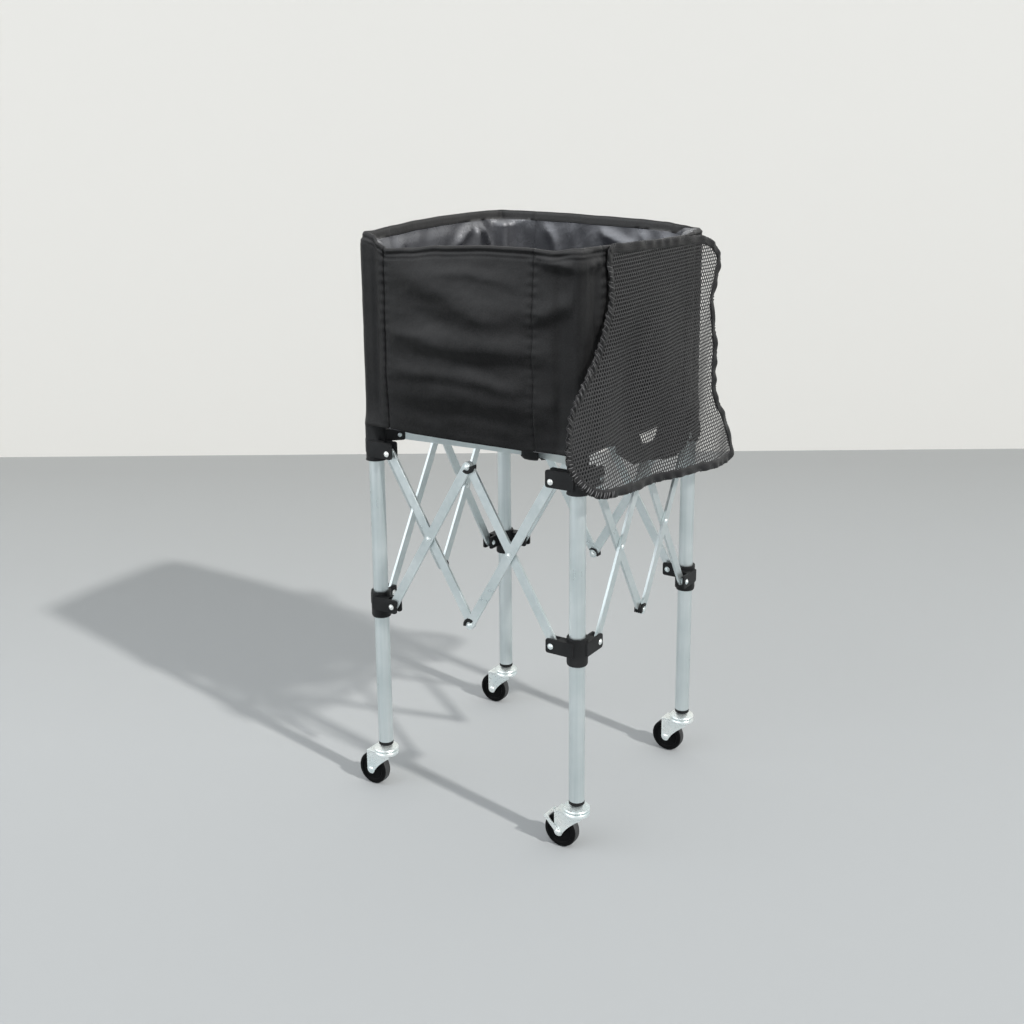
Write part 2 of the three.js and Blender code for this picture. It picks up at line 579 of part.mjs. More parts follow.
function netCover() {
  const { shape, outline } = coverShape();
  const holeRadius = (NET_PITCH - NET_STRAND) / 2;
  const rowStep = NET_PITCH * Math.sqrt(3) / 2;
  const rows = Math.ceil(COVER_DROP / rowStep);
  const columns = Math.ceil(COVER_HALF_WIDTH / NET_PITCH);
  for (let row = 0; row <= rows; row += 1) {
    for (let column = -columns; column <= columns; column += 1) {
      const x = COVER_SHIFT + (column + (row % 2) / 2) * NET_PITCH;
      const y = row * rowStep;
      if (distanceInside(x, y, outline) > COVER_BORDER + holeRadius) {
        const gap = new THREE.Path();
        gap.setFromPoints([0, 1, 2, 3, 4, 5].map((corner) => {
          const angle = (corner + 0.5) * Math.PI / 3;
          return new THREE.Vector2(x + holeRadius * Math.cos(angle), y + holeRadius * Math.sin(angle));
        }));
        shape.holes.push(gap);
      }
    }
  }
  return extruded(shape, COVER_THICKNESS);
}

// Assembly

const names = ['left', 'front', 'right', 'back'];

names.forEach((name, index) => {
  const turn = index * Math.PI / 2;
  const corner = new THREE.Vector2(-HALF_SPACING, -HALF_SPACING).rotateAround(new THREE.Vector2(), turn);
  const leg = new THREE.Group();
  leg.position.set(corner.x, corner.y, 0);
  leg.rotation.z = turn;
  cart.add(leg);

  place(leg, `${name}_leg_tube`, geometryOf(legTube()), silverTube);
  place(leg, `${name}_foot_plug`, geometryOf(footPlug()), blackPlastic);
  place(leg, `${name}_upper_bracket`, geometryOf(upperBracket()), blackPlastic);
  place(leg, `${name}_slider`, geometryOf(slider()), blackPlastic);
  place(leg, `${name}_bag_sleeve`, geometryOf(cornerSleeve()), blackCloth);
  place(leg, `${name}_bag_wall`, geometryOf(bagWall()), blackCloth);

  const sides = [[1, LAYER_INNER, LAYER_OUTER, 'a'], [-1, LAYER_OUTER, LAYER_INNER, 'b']];
  sides.forEach(([way, upperLayer, sliderLayer, side]) => {
    place(leg, `${name}_upper_bar_${side}`, geometryOf(ontoSide(upperBar(way, upperLayer), way)), silverTube);
    place(leg, `${name}_slider_bar_${side}`, geometryOf(ontoSide(sliderBar(way, sliderLayer), way)), silverTube);
  });

  const caster = new THREE.Group();
  caster.position.set(corner.x, corner.y, 0);
  cart.add(caster);
  const hasBrake = name === 'front';
  const axleHeadFace = hasBrake ? leverFace + LEVER_PLATE + GAP : forkOutside;
  place(caster, `${name}_caster_fork`, geometryOf(casterFork(axleHeadFace)), zincPlate);
  place(caster, `${name}_wheel`, geometryOf(casterWheel()), blackRubber);
  if (hasBrake) {
    place(caster, 'brake_lever', geometryOf(brakeLever()), zincPlate);
  }

  const diagonal = new THREE.Group();
  diagonal.rotation.z = turn - 3 * Math.PI / 4;
  cart.add(diagonal);
  place(diagonal, `${name}_brace`, geometryOf(brace()), silverTube);
  const floor = new THREE.Group();
  floor.rotation.z = turn - Math.PI;
  cart.add(floor);
  place(floor, `${name}_floor_quarter`, geometryOf(floorQuarter()), blackCloth);
});

place(cart, 'centre_hub', geometryOf(centreHub()), blackPlastic);

// The cover hangs on the +X side. Its hinge line runs along Y just above the rim.
const coverHinge = new THREE.Group();
coverHinge.position.set(HALF_SPACING + CLOTH_OUTSIDE + GAP + COVER_THICKNESS + GAP, 0, RIM_Z + COVER_HINGE_ABOVE_RIM);
coverHinge.rotation.y = -THREE.MathUtils.degToRad(COVER_LEAN);
cart.add(coverHinge);
const netGeometry = geometryOf(netCover().rotate([-90, 0, 90]).translate([-GAP, 0, 0]));
place(coverHinge, 'net_cover', netGeometry, blackNet);

const box = new THREE.Box3().setFromObject(cart);
cart.position.set(-(box.min.x + box.max.x) / 2, -(box.min.y + box.max.y) / 2, 0);

export default cart;
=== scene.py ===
# %% [markdown]
# # A folding ball cart
#
# The cart is a scissor frame of flat silver bars on four tube legs with casters. A square black
# cloth bag hangs inside the leg tops, and a net cover hangs from its rim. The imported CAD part
# gives the frame: where each piece is and what it moves with. This lesson gives the frame its
# looks, piece by piece, and sews the bag and the net round it.

import json
import math
from contextlib import contextmanager

import bpy
from mathutils import Matrix, Vector, noise


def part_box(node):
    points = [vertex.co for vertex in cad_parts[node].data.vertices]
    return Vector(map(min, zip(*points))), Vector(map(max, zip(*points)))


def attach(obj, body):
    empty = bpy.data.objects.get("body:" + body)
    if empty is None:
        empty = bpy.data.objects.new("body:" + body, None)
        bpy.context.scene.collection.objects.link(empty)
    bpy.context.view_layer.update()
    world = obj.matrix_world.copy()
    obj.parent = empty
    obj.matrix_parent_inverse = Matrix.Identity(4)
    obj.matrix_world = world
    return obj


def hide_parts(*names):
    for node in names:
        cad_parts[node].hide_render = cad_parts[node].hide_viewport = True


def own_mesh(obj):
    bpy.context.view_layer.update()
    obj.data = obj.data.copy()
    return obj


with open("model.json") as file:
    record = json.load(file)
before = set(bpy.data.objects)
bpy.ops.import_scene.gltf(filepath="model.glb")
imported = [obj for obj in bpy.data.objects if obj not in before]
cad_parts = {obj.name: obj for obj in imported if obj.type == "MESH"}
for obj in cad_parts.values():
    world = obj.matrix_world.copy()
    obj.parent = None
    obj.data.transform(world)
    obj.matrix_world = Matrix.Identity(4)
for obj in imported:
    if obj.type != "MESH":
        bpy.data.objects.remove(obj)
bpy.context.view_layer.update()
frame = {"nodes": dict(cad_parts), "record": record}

MM = 0.001
LEG_NAMES = ["left", "front", "right", "back"]
print("nodes", len(frame["nodes"]))

# %% [markdown]
# The frame's own boxes say where things are, so no place is typed twice. A leg's axis is the
# middle of its tube's box. The cart's middle is the mean of the four legs.

# %% Places read from the frame


def middle_of(node):
    low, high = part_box(node)
    return (Vector(low) + Vector(high)) / 2


LEG = {name: middle_of(f"{name}_leg_tube") for name in LEG_NAMES}
CENTRE = sum(LEG.values(), Vector()) / 4
CENTRE.z = 0
HALF = (LEG["front"].x - LEG["left"].x) / 2
print("half the leg spacing", round(HALF / MM, 1), "mm")


def turn_of(name):
    """Quarter turns from the left leg, as an angle about the cart's middle."""
    return LEG_NAMES.index(name) * math.pi / 2


def into_place(name):
    """Matrix from the left leg's own frame (its sides run along +X and +Y) to the named leg."""
    leg = LEG[name]
    return Matrix.Translation((leg.x, leg.y, 0)) @ Matrix.Rotation(turn_of(name), 4, "Z")


# %% [markdown]
# Modelling by hand in Blender is: add a primitive, go into edit mode, pull it into shape with
# operators, and finish it with modifiers. These few helpers do the same from a script. An
# operator acts on what is selected, so each helper first selects only what it works on.

# %% Helpers for modelling


def only(*things):
    """Select just these objects. The first is the active one."""
    bpy.ops.object.select_all(action="DESELECT")
    for thing in things:
        thing.select_set(True)
    bpy.context.view_layer.objects.active = things[0]


def new_piece(name, mesh):
    """An object for a mesh, in the scene and selected."""
    piece = bpy.data.objects.new(name, mesh)
    bpy.context.collection.objects.link(piece)
    only(piece)
    return piece


@contextmanager
def edit_mode(piece):
    """Go into edit mode with the whole mesh selected, and back to object mode at the end."""
    only(piece)
    bpy.ops.object.mode_set(mode="EDIT")
    bpy.ops.mesh.select_all(action="SELECT")
    yield
    bpy.ops.object.mode_set(mode="OBJECT")


def named(name):
    """Name the object that an operator has just added."""
    piece = bpy.context.active_object
    piece.name = name
    piece.data.name = name
    return piece


def modified(piece, kind, **settings):
    """Add a modifier, set it and apply it."""
    only(piece)
    modifier = piece.modifiers.new(kind.title(), kind)
    for key, value in settings.items():
        setattr(modifier, key, value)
    bpy.ops.object.modifier_apply(modifier=modifier.name)
    return piece


def settled(piece, matrix=None):
    """Move the piece's place into its mesh, so that its object sits at the origin."""
    bpy.context.view_layer.update()
    if matrix is not None:
        piece.matrix_world = matrix @ piece.matrix_world
    only(piece)
    bpy.ops.object.transform_apply(location=True, rotation=True, scale=True)
    return piece


def joined(name, *pieces):
    only(*pieces)
    if len(pieces) > 1:
        bpy.ops.object.join()
    return named(name)


def smooth(piece, degrees=32):
    only(piece)
    bpy.ops.object.shade_smooth_by_angle(angle=math.radians(degrees))
    return piece


def crisp(piece, degrees=32):
    """Smooth the rounded edges only: the flat faces keep their own normals."""
    smooth(piece, degrees)
    return modified(piece, "WEIGHTED_NORMAL", weight=100, keep_sharp=True)


FINE_MERGE, MERGE = 1e-6, 1e-5


def outward(piece, doubles=FINE_MERGE):
    """Merge doubles and point all faces outwards."""
    with edit_mode(piece):
        bpy.ops.mesh.remove_doubles(threshold=doubles)
        bpy.ops.mesh.normals_make_consistent(inside=False)
    return piece


def fill_open_ends():
    """In edit mode: give each open loop of edges a face."""
    bpy.ops.mesh.select_all(action="DESELECT")
    bpy.ops.mesh.select_mode(type="EDGE")
    bpy.ops.mesh.select_non_manifold(extend=False, use_wire=False, use_multi_face=False)
    bpy.ops.mesh.fill_holes(sides=0)
    bpy.ops.mesh.select_mode(type="VERT")


def cut_in_strips(axis, places):
    """In edit mode: cut the mesh at right angles to an axis, so that it can bend there."""
    for place in places:
        cut, normal = [0.0, 0.0, 0.0], [0.0, 0.0, 0.0]
        cut[axis], normal[axis] = place, 1.0
        bpy.ops.mesh.select_all(action="SELECT")
        bpy.ops.mesh.bisect(plane_co=cut, plane_no=normal)


def flat_map(piece, up=1):
    """A UV map in metres: seen from above, or from the front where up is 2."""
    piece.data.uv_layers.new(name="flat")
    for corner, loop in zip(piece.data.uv_layers.active.data, piece.data.loops):
        spot = piece.data.vertices[loop.vertex_index].co
        corner.uv = (spot.x, spot[up])


def finished(piece, *materials):
    """Give the piece its finishes. Clearing old slots would reset each face's slot number."""
    if len(piece.data.materials):
        piece.data.materials.clear()
    for material in materials:
        piece.data.materials.append(material)
    return piece


def lathed(name, profile, steps=48):
    """Spin a profile of (radius, height) points in millimetres about Z."""
    mesh = bpy.data.meshes.new(name)
    points = [(radius * MM, 0, height * MM) for radius, height in profile]
    mesh.from_pydata(points, [(i, i + 1) for i in range(len(points) - 1)], [])
    piece = new_piece(name, mesh)
    with edit_mode(piece):
        bpy.ops.mesh.spin(steps=steps, angle=math.tau, center=(0, 0, 0), axis=(0, 0, 1))
    return outward(piece, MERGE)


def plate(name, outline, thickness, bevel=0.0):
    """Extrude a flat outline of (x, z) points in millimetres along Y, centred on y = 0."""
    mesh = bpy.data.meshes.new(name)
    half = thickness / 2
    mesh.from_pydata([(x * MM, -half * MM, z * MM) for x, z in outline], [], [range(len(outline))])
    piece = new_piece(name, mesh)
    with edit_mode(piece):
        move = {"value": (0, thickness * MM, 0)}
        bpy.ops.mesh.extrude_region_move(TRANSFORM_OT_translate=move)
    outward(piece)
    if bevel:
        modified(piece, "BEVEL", width=bevel * MM, segments=2, limit_method="ANGLE")
    return piece


def copied(piece, name, matrix):
    """A copy with a mesh of its own, moved by a matrix."""
    return settled(new_piece(name, piece.data.copy()), matrix)


# %% [markdown]
# ## Finishes
#
# Each finish is a small node tree. Noise in several sizes gives the mottling, grain and wear
# that a real surface has, and a bump node turns some of it into relief. Most read Object
# coordinates. Cloth reads a UV map in metres, so that the weave follows the fold.

# %% Helpers for node trees


class Finish:
    """A material with its shader, and short ways to add nodes to it."""

    def __init__(self, name, **sockets):
        self.material = bpy.data.materials.new(name)
        self.material.use_nodes = True
        self.tree = self.material.node_tree
        self.shader = self.tree.nodes["Principled BSDF"]
        for socket, value in sockets.items():
            self.shader.inputs[socket.replace("_", " ")].default_value = value

    def add(self, kind, **sockets):
        made = self.tree.nodes.new(kind)
        for socket, value in sockets.items():
            made.inputs[socket.replace("_", " ")].default_value = value
        return made

    def link(self, start, end):
        self.tree.links.new(start, end)

    def coordinates(self, scale=(1, 1, 1), cloth=False):
        place = self.add("ShaderNodeTexCoord")
        mapping = self.add("ShaderNodeMapping", Scale=scale)
        self.link(place.outputs["UV" if cloth else "Object"], mapping.inputs["Vector"])
        return mapping.outputs["Vector"]

    def noise(self, vector, scale, detail=3.0, roughness=0.5):
        made = self.add("ShaderNodeTexNoise", Scale=scale, Detail=detail, Roughness=roughness)
        self.link(vector, made.inputs["Vector"])
        return made.outputs["Fac"]

    def between(self, factor, low, high, start=0.0, end=1.0):
        """Map a factor from start..end to a number or a colour between low and high."""
        if isinstance(low, tuple):
            made = self.add("ShaderNodeValToRGB")
            made.color_ramp.elements[0].position = start
            made.color_ramp.elements[1].position = end
            made.color_ramp.elements[0].color = (*low, 1)
            made.color_ramp.elements[1].color = (*high, 1)
            self.link(factor, made.inputs["Fac"])
            return made.outputs["Color"]
        made = self.add(
            "ShaderNodeMapRange", From_Min=start, From_Max=end, To_Min=low, To_Max=high
        )
        self.link(factor, made.inputs["Value"])
        return made.outputs["Result"]

    def math(self, operation, first, second):
        made = self.add("ShaderNodeMath")
        made.operation = operation
        for socket, value in zip(made.inputs, (first, second)):
            if isinstance(value, (int, float)):
                socket.default_value = value
            else:
                self.link(value, socket)
        return made.outputs["Value"]

    def set(self, socket, output):
        self.link(output, self.shader.inputs[socket])

    def relief(self, *heights):
        """Chain bump nodes: each entry is (height output, depth in millimetres)."""
        normal = None
        for height, depth in heights:
            bump = self.add("ShaderNodeBump", Distance=depth * MM, Strength=1.0)
            self.link(height, bump.inputs["Height"])
            if normal is not None:
                self.link(normal, bump.inputs["Normal"])
            normal = bump.outputs["Normal"]
        self.link(normal, self.shader.inputs["Normal"])


# %% [markdown]
# The legs and bars have a satin silver-grey coat with a slight green-blue cast. Fine flake gives
# its sparkle, and long faint streaks come from the drawn tube under it.

# %% Silver coat


def silver_coat(name, along_z):
    coat = Finish(name, Metallic=0.75, IOR=1.5)
    streaks = coat.coordinates((260, 260, 6) if along_z else (120, 120, 120))
    grain = coat.coordinates()
    streak = coat.noise(streaks, 1.0, 4.0)
    cloud = coat.noise(grain, 14.0)
    flake = coat.noise(grain, 1800.0, 1.0)
    mixed = coat.math(
        "ADD", coat.math("MULTIPLY", streak, 0.35), coat.math("MULTIPLY", cloud, 0.65)
    )
    tints = (0.53, 0.605, 0.612), (0.70, 0.755, 0.76)
    coat.set("Base Color", coat.between(mixed, *tints, 0.3, 0.7))
    coat.set("Roughness", coat.between(mixed, 0.26, 0.38, 0.3, 0.7))
    coat.relief((streak, 0.02), (flake, 0.01))
    return coat.material


TUBE_COAT = silver_coat("silver tube coat", True)
BAR_COAT = silver_coat("silver bar coat", False)

# %% [markdown]
# Caster forks are stamped from sheet steel and zinc plated: bright, a little uneven, with a
# faint blue-yellow change of tint from the bath.

# %% Zinc plate


def zinc_plate():
    zinc = Finish("zinc plate", Metallic=0.75)
    place = zinc.coordinates()
    tint = zinc.noise(place, 18.0)
    spots = zinc.noise(place, 300.0, 2.0)
    tints = (0.76, 0.85, 0.86), (0.90, 0.93, 0.91)
    zinc.set("Base Color", zinc.between(tint, *tints, 0.35, 0.65))
    zinc.set("Roughness", zinc.between(spots, 0.25, 0.35, 0.3, 0.7))
    zinc.relief((tint, 0.02), (spots, 0.004))
    return zinc.material


ZINC = zinc_plate()

# %% [markdown]
# Brackets, sliders, plugs and caps are moulded black plastic with a fine spark-eroded grain.
# Handling has polished some of it, which the roughness noise shows.

# %% Black plastic
WORN_LIGHTER = 1.7


def moulded_black(name, colour, smoothest, roughest, grain_depth, shine=0.14):
    plastic = Finish(name, Specular_IOR_Level=shine)
    place = plastic.coordinates()
    cloud = plastic.noise(place, 30.0)
    grain = plastic.noise(place, 1500.0, 2.0)
    lighter = tuple(WORN_LIGHTER * value for value in colour)
    plastic.set("Base Color", plastic.between(cloud, colour, lighter, 0.35, 0.7))
    plastic.set("Roughness", plastic.between(cloud, smoothest, roughest, 0.35, 0.65))
    plastic.relief((grain, grain_depth))
    return plastic.material


PLASTIC = moulded_black("black plastic", (0.012, 0.0125, 0.013), 0.36, 0.5, 0.03)
WHEEL_BLACK = moulded_black("wheel black", (0.004, 0.0041, 0.0044), 0.28, 0.42, 0.015, 0.05)
TREAD_GREY = moulded_black("worn tread", (0.045, 0.046, 0.047), 0.5, 0.65, 0.03)

# %% [markdown]
# ## The camera and the studio
#
# The lens, place and tilt were fitted to marks on the legs and wheels in the photograph. Its
# horizon sits above the middle of the picture, which a small vertical shift reproduces. The
# studio is a pale grey floor that meets an off-white wall, a soft sun from the right and a lot
# of even light from all round. The floor moves with the left leg: the hub is the fixed body of
# the joints, and as the cart folds its casters come down past the hub, still on the floor.

# %% Camera
LENS_MM = 46.2
VIEW_SHIFT = -0.080
CAMERA_FROM_CENTRE = Vector((991.2, -1596.8, 1017.2)) * MM
CAMERA_TURN, CAMERA_DOWN, CAMERA_ROLL = 32.927, 14.006, -0.480


def make_camera():
    data = bpy.data.cameras.new("camera")
    data.lens = LENS_MM
    data.sensor_width = 36
    data.shift_y = VIEW_SHIFT
    camera = bpy.data.objects.new("camera", data)
    bpy.context.collection.objects.link(camera)
    camera.matrix_world = (
        Matrix.Translation(CENTRE + CAMERA_FROM_CENTRE)
        @ Matrix.Rotation(math.radians(CAMERA_TURN), 4, "Z")
        @ Matrix.Rotation(math.radians(90 - CAMERA_DOWN), 4, "X")
        @ Matrix.Rotation(math.radians(CAMERA_ROLL), 4, "Z")
    )
    bpy.context.scene.camera = camera


make_camera()

# %% Floor and wall
WALL_DISTANCE = 1.93
FLOOR_REACH = 9.0
WALL_SUNK = 0.01


def stage_paint(name, colour, far_shade_colour):
    """A mottled paint with painted shade: it turns to its darker far colour behind the cart, where
    less light falls.
    """
    paint = Finish(name, Specular_IOR_Level=0.05)
    place = paint.coordinates()
    cloud = paint.noise(place, 0.8, 4.0)
    speck = paint.noise(place, 260.0, 2.0)
    behind = paint.add("ShaderNodeVectorMath")
    behind.operation = "DOT_PRODUCT"
    paint.link(place, behind.inputs[0])
    turn = math.radians(CAMERA_TURN)
    behind.inputs[1].default_value = (-math.sin(turn), math.cos(turn), 0)
    shade = paint.math("ADD", behind.outputs["Value"], paint.math("MULTIPLY", cloud, 0.25))
    half = paint.math("MULTIPLY", shade, 0.5)
    paint.set("Base Color", paint.between(half, colour, far_shade_colour, 0.1, 0.95))
    paint.set("Roughness", paint.between(speck, 0.6, 0.75))
    paint.relief((speck, 0.05))
    return paint.material


# Each pair is a paint colour and its painted shade far behind the cart.
FLOOR_COLOURS = (0.44, 0.458, 0.468), (0.335, 0.345, 0.345)
WALL_COLOURS = (0.69, 0.685, 0.665), (0.68, 0.675, 0.65)


def make_studio():
    bpy.ops.mesh.primitive_plane_add(size=2 * FLOOR_REACH, location=(0, 0, 0))
    floor = settled(finished(named("floor"), stage_paint("floor paint", *FLOOR_COLOURS)))
    away = Matrix.Rotation(math.radians(CAMERA_TURN), 4, "Z")
    bpy.ops.mesh.primitive_plane_add(size=2 * FLOOR_REACH, location=(0, 0, 0))
    wall = finished(named("wall"), stage_paint("wall paint", *WALL_COLOURS))
    upright = Matrix.Rotation(math.radians(90), 4, "X")
    settled(wall, away @ Matrix.Translation((0, WALL_DISTANCE, FLOOR_REACH - WALL_SUNK)) @ upright)
    for backdrop in (floor, wall):
        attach(backdrop, "left_leg")


make_studio()

# %% Light
SUN_FROM = Vector((0.77, -0.15, 0.62))
SUN_STRENGTH, SUN_COLOUR, SUN_WIDTH = 2.45, (1.0, 0.975, 0.94), 2.2
SKY_COLOUR = (0.945, 0.97, 1.0, 1)
SOFTBOX_FROM = Vector((-0.52, -0.80, 0.24)).normalized()
SOFTBOX_GLOW = {"From Min": 0.6, "From Max": 0.97, "To Min": 0.64, "To Max": 2.2}


def make_light():
    sun = bpy.data.lights.new("sun", "SUN")
    sun.energy = SUN_STRENGTH
    sun.angle = math.radians(SUN_WIDTH)
    sun.color = SUN_COLOUR
    lamp = bpy.data.objects.new("sun", sun)
    bpy.context.collection.objects.link(lamp)
    lamp.rotation_mode = "QUATERNION"
    lamp.rotation_quaternion = SUN_FROM.to_track_quat("Z", "Y")
    world = bpy.context.scene.world or bpy.data.worlds.new("world")
    bpy.context.scene.world = world
    world.use_nodes = True
    nodes, links = world.node_tree.nodes, world.node_tree.links
    sky = nodes["Background"]
    sky.inputs["Color"].default_value = SKY_COLOUR
    place = nodes.new("ShaderNodeTexCoord")
    facing = nodes.new("ShaderNodeVectorMath")
    facing.operation = "DOT_PRODUCT"
    facing.inputs[1].default_value = SOFTBOX_FROM
    glow = nodes.new("ShaderNodeMapRange")
    glow.interpolation_type = "SMOOTHSTEP"
    for socket, value in SOFTBOX_GLOW.items():
        glow.inputs[socket].default_value = value
    links.new(place.outputs["Generated"], facing.inputs[0])
    links.new(facing.outputs["Value"], glow.inputs["Value"])
    links.new(glow.outputs["Result"], sky.inputs["Strength"])
    bpy.context.scene.view_settings.view_transform = "Standard"


make_light()

# %% [markdown]
# ## The frame's solid pieces
#
# The CAD solids have sharp moulded corners and loose triangles. A dressed copy merges them, lets
# coplanar triangles grow together, and rounds the edges a little, as a mould or a press leaves
# them. The copy then stands for the solid.

# %% Dressed copies of CAD solids


def taken_over(node, name):
    """A copy of a CAD solid's mesh, with its flat faces whole again."""
    piece = new_piece(name, frame["nodes"][node].data.copy())
    with edit_mode(piece):
        bpy.ops.mesh.remove_doubles(threshold=2 * FINE_MERGE)
        bpy.ops.mesh.dissolve_limited(angle_limit=math.radians(1))
    return piece


def dressed(node, material, edge):
    piece = taken_over(node, "fine_" + node)
    modified(
        piece, "BEVEL", width=edge * MM, segments=2, limit_method="ANGLE",
        angle_limit=math.radians(40), use_clamp_overlap=True,
    )
    return stands_for(finished(crisp(piece), material), node)


BODY_OF = {
    node: body for body, nodes in frame["record"]["behaviour"]["bodies"].items() for node in nodes
}


def stands_for(piece, node):
    """Let the piece show instead of a CAD node, and move with that node's body."""
    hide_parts(node)
    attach(piece, BODY_OF[node])
    return piece


PLASTIC_EDGE, HUB_EDGE, BAR_EDGE, LEVER_EDGE = 0.7, 0.8, 0.25, 0.4


def dress_frame():
    for name in LEG_NAMES:
        for part in ("upper_bracket", "slider"):
            dressed(f"{name}_{part}", PLASTIC, PLASTIC_EDGE)
        for bar in ("upper_bar_a", "upper_bar_b", "slider_bar_a", "slider_bar_b", "brace"):
            dressed(f"{name}_{bar}", BAR_COAT, BAR_EDGE)
    dressed("centre_hub", PLASTIC, HUB_EDGE)


dress_frame()

# %% [markdown]
# ## Legs, plugs and casters
#
# Round parts are drawn as half a profile and spun about the axis, as a lathe would turn them.
# The tube, the plug under it and the wheel are modelled once, on the Z axis, and copied to the
# four legs. At rest all casters trail the same way.

# %% Leg tubes
TUBE_PROFILE = [
    (9.9, 76.4), (10.8, 76.4), (11.1, 76.7), (11.1, 829.7), (10.8, 830), (9.9, 830), (9.9, 76.4),
]
PLUG_PROFILE = [
    (5.3, 71.2), (10.3, 71.2), (11.0, 71.8), (11.1, 72.6), (11.1, 75.2), (10.7, 76.0),
    (9.5, 76.1), (9.5, 98.4), (5.3, 98.4), (5.3, 71.2),
]


def at_leg(leg):
    return Matrix.Translation((LEG[leg].x, LEG[leg].y, 0))


def on_each_leg(model, name, node, *materials):
    """Copy a model to the four legs, where each stands for the node of its leg."""
    for leg in LEG_NAMES:
        piece = copied(model, f"{leg}_{name}", at_leg(leg))
        stands_for(finished(piece, *materials), f"{leg}_{node}")
    bpy.data.objects.remove(model)


def make_legs():
    on_each_leg(smooth(lathed("tube", TUBE_PROFILE)), "tube", "leg_tube", TUBE_COAT)
    on_each_leg(smooth(lathed("plug", PLUG_PROFILE)), "plug", "foot_plug", PLASTIC)


make_legs()

# %% [markdown]
# A wheel is moulded nylon with a rounded tread, a sunk web and a boss round its axle. Rolling
# has worn the tread to a dull grey. The wheel is spun about Z and then laid over, so that its
# axle runs along Y, behind the swivel.

# %% Wheels
TRAIL, WHEEL_R, TREAD_FROM = 23.3, 25.0, 24.5
WHEEL_PROFILE = [
    (3.3, -8), (7.4, -8), (8.0, -7.6), (8.8, -6.3), (17.2, -6.1), (18.3, -6.9), (18.9, -8),
    (21.6, -8), (23.6, -7.1), (24.7, -5.4), (25, -3.6), (25, 3.6), (24.7, 5.4), (23.6, 7.1),
    (21.6, 8), (18.9, 8), (18.3, 6.9), (17.2, 6.1), (8.8, 6.3), (8.0, 7.6), (7.4, 8), (3.3, 8),
    (3.3, -8),
]
AXLE_PLACE = Vector((-TRAIL * MM, 0, WHEEL_R * MM))
AXLE = Matrix.Translation(AXLE_PLACE) @ Matrix.Rotation(math.radians(90), 4, "X")


def make_wheels():
    wheel = smooth(settled(lathed("wheel", WHEEL_PROFILE, 64), AXLE))
    for face in wheel.data.polygons:
        arm = face.center - AXLE_PLACE
        face.material_index = int(math.hypot(arm.x, arm.z) > TREAD_FROM * MM)
    on_each_leg(wheel, "caster_wheel", "wheel", WHEEL_BLACK, TREAD_GREY)


make_wheels()

# %% [markdown]
# The fork is one pressing: two cheeks with a straight back edge and a sweeping front edge, bent
# down from a crown. Two dished races with the balls between them sit on the crown. The pedal of
# the brake lever is drawn in a little, to the short one that the photograph shows.

# %% Forks
FORK_IN, FORK_WALL, EYE = 8.8, 2.0, 7
HEAD_PLAIN, HEAD_BRAKED = 10.8, 13.1
CROWN_LONG, CROWN_THICK, CROWN_X, CROWN_Z = 42.1, 3.2, -9.2, 55.4
RACE_PROFILE = [
    (0, 55.3), (17.4, 55.3), (18.5, 56.0), (18.8, 57.3), (18.5, 59.6), (17.5, 60.9), (15.3, 61.2),
    (15.0, 61.9), (15.3, 62.5), (17.6, 62.7), (18.6, 63.5), (18.8, 64.8), (17.9, 66.1),
    (13.5, 67.4), (9.5, 69.0), (7.4, 70.3), (6.2, 70.9), (5, 71.0), (5, 93.3), (0, 93.3),
]
HEAD_PROFILE = [(0, 1.6), (1.8, 1.55), (3.2, 1.25), (4.1, 0.7), (4.4, 0), (0, 0)]


def cheek_outline():
    """The cheek from its top back corner round its eye, and up its swept front edge."""
    points = [(-30.3, 56.6), (-30.3, 27)]
    for step in range(9):
        angle = math.radians(180 + 16 * step)
        points.append((-TRAIL + EYE * math.cos(angle), WHEEL_R + EYE * math.sin(angle)))
    start, pull, end = (-17.4, 22.8), (-10.0, 36.0), (12.0, 51.5)
    for step in range(1, 11):
        t = step / 10
        points.append(tuple(
            (1 - t) ** 2 * a + 2 * t * (1 - t) * b + t * t * c for a, b, c in zip(start, pull, end)
        ))
    return points + [(12.0, 56.6)]


def fork_model(head_face):
    parts = []
    for side in (-1, 1):
        cheek = plate("cheek", cheek_outline(), FORK_WALL, 0.5)
        out = side * (FORK_IN + FORK_WALL / 2) * MM
        parts.append(settled(cheek, Matrix.Translation((0, out, 0))))
        head = lathed("axle head", HEAD_PROFILE, 24)
        lay = Matrix.Rotation(math.radians(-90 * side), 4, "X")
        put = Matrix.Translation((-TRAIL * MM, side * head_face * MM, WHEEL_R * MM))
        parts.append(settled(head, put @ lay))
    bpy.ops.mesh.primitive_cube_add(size=1)
    crown = named("crown")
    crown.dimensions = (CROWN_LONG * MM, 2 * (FORK_IN + FORK_WALL) * MM, CROWN_THICK * MM)
    settled(crown, Matrix.Translation((CROWN_X * MM, 0, CROWN_Z * MM)))
    parts.append(modified(crown, "BEVEL", width=1.5 * MM, segments=3, limit_method="ANGLE"))
    pin = [(0, -head_face), (3, -head_face), (3, head_face), (0, head_face)]
    parts.append(settled(lathed("axle", pin, 24), AXLE))
    parts.append(lathed("races", RACE_PROFILE, 56))
    return crisp(joined("fork", *parts), 35)


def make_forks():
    plain, braked = fork_model(HEAD_PLAIN), fork_model(HEAD_BRAKED)
    for leg in LEG_NAMES:
        model = braked if leg == "front" else plain
        piece = finished(copied(model, f"{leg}_fork", at_leg(leg)), ZINC)
        stands_for(piece, f"{leg}_caster_fork")
    for model in (plain, braked):
        bpy.data.objects.remove(model)


make_forks()

# %% Brake lever
BRAKE_AXLE = at_leg("front") @ AXLE_PLACE
PEDAL_FROM, PEDAL_IN, PEDAL_SHORTER = 27.5, 2.6, 0.45


